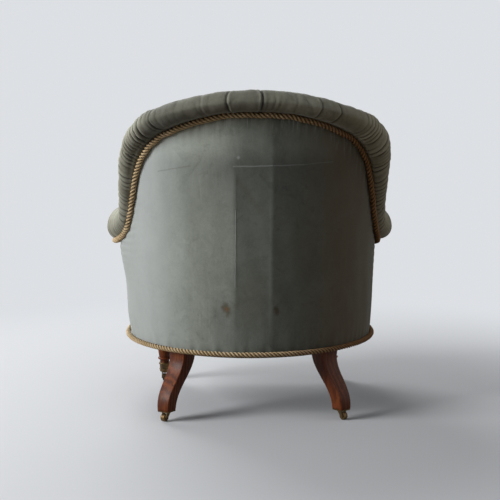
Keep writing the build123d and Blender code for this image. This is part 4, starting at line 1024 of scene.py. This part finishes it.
# The seat's crown: share of its height, then how far its sides and its front edge stand in, in mm.
SEAT_PROFILE = ((0.0, 3.0, 4.0), (0.12, 0.0, -8.0), (0.26, 0.0, -14.0), (0.42, 1.0, -17.0),
                (0.56, 5.0, -15.0), (0.69, 12.0, -7.0), (0.8, 24.0, 7.0), (0.89, 43.0, 28.0),
                (0.95, 66.0, 56.0), (0.985, 96.0, 90.0), (1.0, 130.0, 120.0))


def swollen(piece, voxel, cap):
    """Fill a pad with air as cloth under pressure, no point moving further than the cap."""
    frames = 20
    applied(piece, "REMESH", mode="VOXEL", voxel_size=voxel, use_smooth_shade=True)
    before = np.array([v.co[:] for v in piece.data.vertices])
    cloth_step = piece.modifiers.new("stuffing pressure", "CLOTH")
    cloth_step.settings.use_pressure = True
    cloth_step.settings.uniform_pressure_force = 4.0
    cloth_step.settings.effector_weights.gravity = 0.0
    cloth_step.settings.quality = 5
    cloth_step.collision_settings.use_collision = False
    cloth_step.point_cache.frame_end = frames
    for step in range(1, frames + 1):
        bpy.context.scene.frame_set(step)
    only(piece)
    bpy.ops.object.modifier_apply(modifier=cloth_step.name)
    bpy.context.scene.frame_set(1)
    after = np.array([v.co[:] for v in piece.data.vertices])
    move = after - before
    far = np.linalg.norm(move, axis=-1, keepdims=True)
    after = before + move * np.minimum(1, cap / np.maximum(far, 1e-9))
    piece.data.vertices.foreach_set("co", after.ravel())
    piece.data.update()


def seat_pad(material):
    """Crowned, sprung seat pad between the arms, filled by a cloth simulation and then creased."""
    profile = np.array(SEAT_PROFILE)
    shares = np.concatenate([np.linspace(0, 0.9, 13), [0.94, 0.97, 0.99, 1.0]])
    rope_width = 2 * FACING_ROPE_RADIUS + 0.0006
    rings = []
    for share in shares:
        side, front = [np.interp(share, profile[:, 0], profile[:, k]) / 1000 for k in (1, 2)]
        z = SEAT_BASE_Z + 0.002 + share * (SEAT_CROWN - 0.005)
        front_y = ARM_FRONT_Y - FACING_THICKNESS + front + 0.004
        rings.append(seat_outline(z, 0.001 + rope_width + side + 0.004, front_y, 220))
    inner = rings[-1]
    centre = inner.mean(axis=0)
    for share in (0.6, 0.25, 0.02):
        ring = centre + (inner - centre) * share
        ring[:, 2] += 0.001 * (1 - share)
        rings.append(ring)
    piece = lofted("seat_pad", np.array(rings))
    swollen(piece, 0.006, 0.006)
    applied(piece, "SUBSURF", levels=1, render_levels=1)
    points = np.array([v.co[:] for v in piece.data.vertices])
    x, y, z = points.T
    high = ease(SEAT_BASE_Z + 0.012, SEAT_BASE_Z + 0.04, z)
    lines = 0.0008 * ripple(x, y * 0.4, 31, 0.05) + 0.0016 * ripple(x, y, 32, 0.20)
    front = ease(-0.22, -0.29, y)
    near_base = bump(z, SEAT_BASE_Z + 0.012, 0.012)
    gathers = 0.0010 * front * np.sin(x * 260 + 1.5 * ripple(x, y, 33, 0.1)) * near_base
    sat = -0.0035 * bump(x, 0.0, 0.13) * bump(y, -0.07, 0.13)
    points[:, 2] += (lines + sat) * high
    points[:, 1] -= gathers
    points[:, 2] = np.minimum(points[:, 2], SEAT_BASE_Z + SEAT_CROWN + 0.006)
    piece.data.vertices.foreach_set("co", points.ravel())
    piece.data.polygons.foreach_set("use_smooth", [True] * len(piece.data.polygons))
    piece.data.update()
    dress(piece, material, "velvet", "seat_cover")
    return piece


def cut(work, spot, way):
    """Divide a bmesh along a plane."""
    geometry = work.verts[:] + work.edges[:] + work.faces[:]
    bmesh.ops.bisect_plane(work, geom=geometry, plane_co=spot, plane_no=way)


def panel(name, outline, y, thickness, edge, step=0.006):
    """Padded panel in an upright plane: a grid inside an outline, swollen forwards between its edges."""
    work = bmesh.new()
    work.faces.new([work.verts.new((px, y, pz)) for px, pz in outline])
    low, high = outline.min(axis=0), outline.max(axis=0)
    for x in np.arange(low[0] + step, high[0], step):
        cut(work, (x, y, 0), (1, 0, 0))
    for z in np.arange(low[1] + step, high[1], step):
        cut(work, (0, y, z), (0, 0, 1))
    rim = [e for e in work.edges if e.is_boundary]
    raised = bmesh.ops.extrude_edge_only(work, edges=rim)["geom"]
    back_verts = {v for v in raised if isinstance(v, bmesh.types.BMVert)}
    for vertex in back_verts:
        vertex.co.y = ARM_FRONT_Y - 0.0002
    bmesh.ops.contextual_create(work, geom=[e for e in raised if isinstance(e, bmesh.types.BMEdge)])
    a, b = outline, np.roll(outline, -1, axis=0)
    for vertex in work.verts:
        if vertex in back_verts:
            continue
        p = np.array([vertex.co.x, vertex.co.z])
        t = np.clip(((p - a) * (b - a)).sum(1) / np.maximum(((b - a) ** 2).sum(1), 1e-12), 0, 1)
        apart = np.linalg.norm(p - a - t[:, None] * (b - a), axis=1).min()
        share = min(1.0, apart / edge)
        swell = sqrt(max(0.0, 1 - (1 - share) ** 2))
        crease = 0.0007 * float(ripple(p[0], p[1], 41, 0.06))
        vertex.co.y = y - thickness * swell - crease * share
    bmesh.ops.recalc_face_normals(work, faces=work.faces)
    return shown(bpy.data.meshes.new(name), work)


FACING_NECK = 0.027  # below the scroll's base, where the facing's outer edge starts to lean outwards


def scroll_outline():
    """The roll's section at the arm front, in the plane of the facing."""
    stations = np.array([END_STATION])
    outline = roll_outlines(stations, 60)[0]
    origin, outwards, up = seam_axes(stations, ROLL_TILT, ROLL_LIFT)
    points = origin + outline[:, :1] * outwards + outline[:, 1:] * up
    return points[:, [0, 2]], origin[0]


def arm_panels(material):
    """Facings of the two arms, scrolled at their tops."""
    scroll, base = scroll_outline()
    outer_x = float(wall_point(END_STATION, RAIL_BASE_Z)[0])
    inner_x = float(wall_point(END_STATION, RAIL_BASE_Z, WALL_THICKNESS)[0])
    neck = wall_point(END_STATION, base[2] - FACING_NECK)
    rest = np.array([(inner_x, RAIL_BASE_Z + 0.0005), (outer_x, RAIL_BASE_Z + 0.0005), (neck[0], neck[2])])
    left = panel("arm_panel_left", np.concatenate([scroll[9:], rest]), ARM_FRONT_Y - 0.004, 0.0085, 0.020)
    right = other_side(left, "arm_panel_right")
    for piece, side in ((left, "left"), (right, "right")):
        dress(piece, material, "velvet", "arm_facing_" + side)


def front_panel(material):
    """Border under the front of the seat."""
    top = SEAT_BASE_Z - 0.0006
    low, high = [float(wall_point(END_STATION, z, WALL_THICKNESS)[0]) - 0.0004 for z in (RAIL_BASE_Z, top)]
    outline = np.array([(-low, RAIL_BASE_Z + 0.0005), (low, RAIL_BASE_Z + 0.0005), (high, top), (-high, top)])
    piece = panel("front_panel", outline, ARM_FRONT_Y - 0.006, 0.0065, 0.030, 0.009)
    dress(piece, material, "velvet", "front_border")


# ---- ropes ---------------------------------------------------------------------------------------
def ropes(material):
    """Rope under the roll, rope round the bottom edge, and the two ropes of the facings."""
    stations = np.linspace(-END_STATION, END_STATION, 3000)
    origin, outwards, up = seam_axes(stations, 1.0)
    hook = ease(64, 96, stations)[:, None]
    wander = 0.0013 * ripple(seam_lengths(stations), stations * 0, 61, 0.055)[:, None]
    line = origin + outwards * (UPPER_ROPE_RADIUS + 0.0008 + 0.024 * hook) + up * (0.006 * hook + wander)
    path = resampled(line, ROPE_STEP)
    upper = rope("edge_rope_upper", path, (0.0, 0.0, 1.0), UPPER_ROPE_RADIUS * ROPE_FULLNESS, 0.031)
    dress(upper, material, "rope", "rope_trim_upper")

    z = RAIL_BASE_Z + 0.002 + LOWER_ROPE_RADIUS
    shift = BACK_RAKE * (z - RAIL_BASE_Z) / 2 + 0.0001
    out = LOWER_ROPE_RADIUS + 0.0003 + shift
    front_x = float(wall_point(END_STATION, z)[0]) + out
    front_y = ARM_FRONT_Y - FACING_THICKNESS + 0.0012 - LOWER_ROPE_RADIUS
    turn = acos((front_x - BACK_RADIUS + SIDE_RADIUS) / (SIDE_RADIUS + out))
    centre_y = TUB_CENTRE_Y + shift
    half = [Vector(((BACK_RADIUS + out) * sin(a), centre_y + (BACK_RADIUS + out) * cos(a), z))
            for a in np.linspace(0, pi / 2, 120)]
    reach = SIDE_RADIUS + out
    half += [Vector((BACK_RADIUS - SIDE_RADIUS + reach * cos(a), centre_y - reach * sin(a), z))
             for a in np.linspace(0, turn, 60)[1:-6]]
    bend, corner = Vector((front_x, half[-1].y - 0.018, z)), Vector((front_x, front_y, z))
    run = rounded([half[-1], bend, corner, Vector((0, front_y, z))], (0.02, 0.0065), ROPE_STEP)
    half = np.concatenate([resampled(np.array([p[:] for p in half]), ROPE_STEP)[:-1], run])
    path = np.concatenate([half, half[-2::-1] * np.array([-1, 1, 1])])
    path = resampled(path, ROPE_STEP)[:-1]
    radius = LOWER_ROPE_RADIUS * ROPE_FULLNESS
    lower = rope("edge_rope_lower", path, (0.0, 0.0, 1.0), radius, ROPE_PITCH, closed=True)
    dress(lower, material, "rope", "rope_trim_lower")

    scroll, base = scroll_outline()
    ahead = np.gradient(scroll, axis=0)
    ahead /= np.linalg.norm(ahead, axis=-1, keepdims=True)
    away = FACING_ROPE_RADIUS - 0.0006
    outside = scroll + np.stack([ahead[:, 1], -ahead[:, 0]], -1) * away
    y = ARM_FRONT_Y - FACING_THICKNESS / 2
    start_z = RAIL_BASE_Z + 0.002 + 2 * LOWER_ROPE_RADIUS + 0.0003
    foot = [wall_point(END_STATION, h) for h in np.linspace(start_z, base[2] - FACING_NECK, 12)]
    foot = np.array([(p[0] + away, y, p[2]) for p in foot])
    over = np.array([(px, y, pz) for px, pz in outside[9:-2]])
    end_z = float(smooth(SEAM_LINE, END_STATION))
    end = wall_point(END_STATION, end_z, wall_inset(END_STATION, end_z))
    last = np.array([[end[0] - FACING_ROPE_RADIUS - 0.0009, y, end_z]])
    line = resampled(np.concatenate([foot, over, last]), 0.004)
    for _ in range(3):
        line[1:-1] = (line[:-2] + 2 * line[1:-1] + line[2:]) / 4
    path = resampled(line, ROPE_STEP)
    left = rope("arm_rope_left", path, (0.0, 1.0, 0.0), FACING_ROPE_RADIUS * 1.02, ROPE_PITCH)
    right = other_side(left, "arm_rope_right")
    dress(left, material, "rope", "facing_rope_left")
    dress(right, material, "rope", "facing_rope_right")


# ---- legs ----------------------------------------------------------------------------------------
LEG_BASE_Z = 0.0255
BACK_LEG_SIZE = 0.046
BACK_FOOT_SIZE = 0.032
BACK_LEG_SWEEP = 0.056
BACK_LEG_STATION = 37.0
FRONT_LEG_PLACE = (0.233, ARM_FRONT_Y + 0.0533)


def back_leg_place():
    """Middle of the left back leg where it meets the rails."""
    sagitta = BACK_LEG_SIZE ** 2 / (8 * (BACK_RADIUS - 0.003))
    return wall_point(BACK_LEG_STATION, RAIL_BASE_Z, 0.0036 + sagitta + BACK_LEG_SIZE / 2)


def swept_legs(material):
    """Square back legs: drawn down from the rail in short steps that follow the sweep."""
    bpy.ops.object.select_all(action="DESELECT")
    bpy.ops.mesh.primitive_plane_add(size=BACK_LEG_SIZE, location=(0, 0, RAIL_TOP_Z))
    leg = bpy.context.object
    leg.name = leg.data.name = "swept_leg_left"
    placed(leg)
    bpy.ops.object.mode_set(mode="EDIT")
    bpy.ops.mesh.select_all(action="SELECT")
    bpy.ops.mesh.extrude_region_move(TRANSFORM_OT_translate={"value": (0, 0, RAIL_BASE_Z - RAIL_TOP_Z)})
    steps = 26
    drop = RAIL_BASE_Z - LEG_BASE_Z
    out, size = 0.0, BACK_LEG_SIZE
    for i in range(1, steps + 1):
        share = i / steps
        new_size = BACK_LEG_SIZE + (BACK_FOOT_SIZE - BACK_LEG_SIZE) * share
        sweep = BACK_LEG_SWEEP * share ** 3 * (10 - 15 * share + 6 * share ** 2)
        new_out = sweep - (new_size - BACK_LEG_SIZE) / 2
        bpy.ops.mesh.extrude_region_move(TRANSFORM_OT_translate={"value": (new_out - out, 0, -drop / steps)})
        middle = (new_out, 0, RAIL_BASE_Z - drop * share)
        bpy.ops.transform.resize(value=(new_size / size, new_size / size, 1), center_override=middle)
        out, size = new_out, new_size
    bpy.ops.mesh.select_all(action="SELECT")
    bpy.ops.mesh.normals_make_consistent(inside=False)
    bpy.ops.object.mode_set(mode="OBJECT")
    place = back_leg_place()
    leg.rotation_euler = Euler((0, 0, radians(90 - BACK_LEG_STATION)))
    leg.location = (place[0], place[1], 0)
    placed(leg)
    applied(leg, "BEVEL", width=0.0022, segments=3, limit_method="ANGLE", angle_limit=radians(50))
    only(leg)
    bpy.ops.object.shade_smooth_by_angle(angle=radians(40))
    right = other_side(leg, "swept_leg_right")
    dress(leg, material, "mahogany", "back_leg_left")
    dress(right, material, "mahogany", "back_leg_right")


# ---- dust cloth ----------------------------------------------------------------------------------
def dust_sheet(material):
    """Thin dark cloth tacked under the rails, sagging a little in the middle, cut round the legs."""
    z = RAIL_BASE_Z - 0.0038
    stations = np.linspace(-END_STATION, END_STATION, 160)
    edge = wall_point(stations, RAIL_BASE_Z, 0.012)[:, :2]
    front_y = ARM_FRONT_Y + 0.0123
    edge = edge[edge[:, 1] > front_y]
    outline = np.concatenate([edge, [(edge[-1, 0], front_y), (edge[0, 0], front_y)]])
    work = bmesh.new()
    work.faces.new([work.verts.new((px, py, z)) for px, py in outline])
    back = back_leg_place()
    front = FRONT_LEG_PLACE
    rooms = []
    for side in (1, -1):
        turn = radians(side * (90 - BACK_LEG_STATION))
        rooms.append((Vector((side * back[0], back[1], 0)), turn, 0.75 * BACK_LEG_SIZE))
        rooms.append((Vector((side * front[0], front[1], 0)), 0.0, 0.025))

    for spot, turn, half in rooms:
        for quarter in range(4):
            way = Vector((cos(turn + quarter * pi / 2), sin(turn + quarter * pi / 2), 0))
            cut(work, spot + way * half, way)
    for along in np.arange(-0.30, 0.301, 0.012):
        cut(work, (along, 0, 0), (1, 0, 0))
        cut(work, (0, along, 0), (0, 1, 0))

    def inside(point, room):
        spot, turn, half = room
        apart = point - spot
        x, y = apart.x * cos(turn) + apart.y * sin(turn), -apart.x * sin(turn) + apart.y * cos(turn)
        return abs(x) < half and abs(y) < half

    gone = [f for f in work.faces if any(inside(f.calc_center_median(), room) for room in rooms)]
    bmesh.ops.delete(work, geom=gone, context="FACES")
    bmesh.ops.remove_doubles(work, verts=work.verts, dist=0.0002)
    for vertex in work.verts:
        x, y = vertex.co.x, vertex.co.y + 0.04
        near = max(0.0, 1 - (x / 0.23) ** 2) * max(0.0, 1 - (y / 0.20) ** 2)
        vertex.co.z -= 0.004 * near
        vertex.co.z += 0.0007 * float(ripple(x, y, 51, 0.07)) * min(1.0, near * 4)
    piece = shown(bpy.data.meshes.new("dust_sheet"), work)
    applied(piece, "SOLIDIFY", thickness=0.0008, offset=0.0)
    dress(piece, material, "dust_cloth", "bottoming_cloth")


# ---- finishes of the carried-over nodes ----------------------------------------------------------
# Words in a node's name, and its finish.
NODE_FINISHES = (("caster_", "brass"), ("front_leg", "mahogany"), ("back_leg", "mahogany"), ("rope", "rope"),
                 ("webbing", "webbing"), ("hessian", "hessian"), ("stuffing", "stuffing"),
                 ("springs", "steel"), ("tacks", "steel"), ("bottoming", "dust"), ("rail", "beech"),
                 ("post", "beech"), ("stump", "beech"), ("corner_blocks", "beech"), ("", "velvet"))


def finish_nodes(materials):
    """Every CAD node gets the finish that its name calls for."""
    for name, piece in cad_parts.items():
        material = next(materials[key] for word, key in NODE_FINISHES if word in name)
        piece.data.materials.clear()
        piece.data.materials.append(material)


# ---- stage ---------------------------------------------------------------------------------------
FLOOR_COLOUR = (0.69, 0.705, 0.73)
FLOOR_BOUNCE = (0.22, 0.18, 0.14)
BACKDROP_COLOUR = (0.72, 0.74, 0.77)
# Lamps: place, size and power.
LAMPS = (("window", (3.4, 1.15, 1.75), 1.6, 132), ("front window", (1.4, -3.2, 2.3), 2.2, 110),
         ("far fill", (-3.2, 0.4, 1.5), 2.0, 7), ("behind", (0.3, 3.6, 2.4), 2.0, 2))
CAMERA_PLACE = (0.10, 2.62, 0.70)
CAMERA_YAW = atan(0.10 / 2.72)
CAMERA_PITCH = radians(6.73)


def seen_directly(tree):
    """1 for rays of the camera, mirrors and clear things, 0 for the light that falls on the chair."""
    rays = node(tree, "LightPath").outputs
    camera, glossy, clear = [Value(tree, rays[f"Is {kind} Ray"])
                             for kind in ("Camera", "Glossy", "Transmission")]
    return camera.calculated("MAXIMUM", glossy).calculated("MAXIMUM", clear)


def stage():
    """Pale seamless floor, a window from the chair's left, softer light from the front, and the camera."""
    bpy.ops.object.select_all(action="DESELECT")
    bpy.ops.mesh.primitive_circle_add(vertices=96, radius=60, fill_type="NGON", location=(0, 0, 0))
    floor = bpy.context.object
    floor.name = "floor"
    material, shader, place = finish("pale floor")
    tree = place.tree
    seen = seen_directly(tree)
    colour = blended(seen, FLOOR_BOUNCE, FLOOR_COLOUR)
    feed(shader, Base_Color=colour, Roughness=0.9, Specular_IOR_Level=0.1)
    glow = value(tree, "Emission", {"Color": BACKDROP_COLOUR, "Strength": 1.0})
    mask = seen * between(place.vector("LENGTH"), 0.6, 1.7)
    surface = value(tree, "MixShader", {0: mask, 1: Value(tree, shader.outputs[0]), 2: glow})
    join(next(n for n in tree.nodes if n.type == "OUTPUT_MATERIAL").inputs[0], surface)
    floor.data.materials.append(material)

    world = bpy.data.worlds.new("studio")
    bpy.context.scene.world = world
    world.use_nodes = True
    tree = world.node_tree
    tree.nodes.clear()
    dim = value(tree, "Background", {"Color": (0.98, 0.985, 1.0), "Strength": 0.15})
    wall = value(tree, "Background", {"Color": BACKDROP_COLOUR, "Strength": 1.0})
    node(tree, "OutputWorld", {0: value(tree, "MixShader", {0: seen_directly(tree), 1: dim, 2: wall})})

    for name, place, size, power in LAMPS:
        data = bpy.data.lights.new(name, "AREA")
        data.shape = "SQUARE"
        data.size, data.energy = size, power
        lamp = bpy.data.objects.new(name, data)
        bpy.context.scene.collection.objects.link(lamp)
        lamp.location = place
        lamp.rotation_euler = (Vector((0, 0, 0.4)) - Vector(place)).to_track_quat("-Z", "Y").to_euler()

    camera_data = bpy.data.cameras.new("camera")
    camera_data.sensor_width, camera_data.lens = 36.0, 75.0
    camera = bpy.data.objects.new("camera", camera_data)
    bpy.context.scene.collection.objects.link(camera)
    camera.location = CAMERA_PLACE
    level = cos(CAMERA_PITCH)
    look = Vector((-sin(CAMERA_YAW) * level, -cos(CAMERA_YAW) * level, -sin(CAMERA_PITCH)))
    camera.rotation_euler = look.to_track_quat("-Z", "Y").to_euler()
    bpy.context.scene.camera = camera
    bpy.context.scene.view_settings.view_transform = "Standard"


def build():
    back_velvet = velvet("sage velvet, back", SAGE, SAGE_PALE, SAGE_DEEP, folds=0.85, tints=back_tints)
    fold_velvet = velvet("sage velvet, folded", SAGE, SAGE_PALE, SAGE_DEEP, folds=0.85)
    # The roll gets a darker copy of the sage velvet: painted shade.
    roll_velvet = velvet("velvet with painted shade, roll", ROLL_SHADED_VELVET, ROLL_SHADED_VELVET_PALE, ROLL_SHADED_VELVET_DEEP, folds=0.92, tints=roll_tints)
    plain_velvet = velvet("sage velvet", SAGE, SAGE_PALE, SAGE_DEEP)
    materials = {
        "brass": metal("aged brass", (0.19, 0.12, 0.05), (0.025, 0.017, 0.010), 0.36),
        "mahogany": wood("polished mahogany", (0.190, 0.047, 0.010), (0.085, 0.018, 0.004), (1, 1, 0.09),
                         0.12, 0.40),
        "rope": gold_rope(),
        "webbing": cloth("jute webbing", (0.46, 0.36, 0.22), (0.26, 0.19, 0.11), 420.0),
        "hessian": cloth("hessian", (0.48, 0.38, 0.24), (0.28, 0.20, 0.12), 520.0),
        "stuffing": stuffing(),
        "steel": metal("dark steel", (0.30, 0.30, 0.31), (0.06, 0.05, 0.045), 0.38),
        "dust": cloth("dust cloth", (0.035, 0.034, 0.032), (0.016, 0.015, 0.014), 900.0),
        "beech": wood("beech", (0.60, 0.42, 0.25), (0.42, 0.27, 0.15), (1, 0.07, 1), 0.0, 0.55),
        "velvet": plain_velvet,
    }
    finish_nodes(materials)
    velvet_back(back_velvet)
    velvet_roll(roll_velvet)
    buttoned_back(fold_velvet)
    velvet_buttons(plain_velvet)
    seat_pad(plain_velvet)
    arm_panels(plain_velvet)
    front_panel(plain_velvet)
    ropes(materials["rope"])
    swept_legs(materials["mahogany"])
    dust_sheet(materials["dust"])


build()
stage()
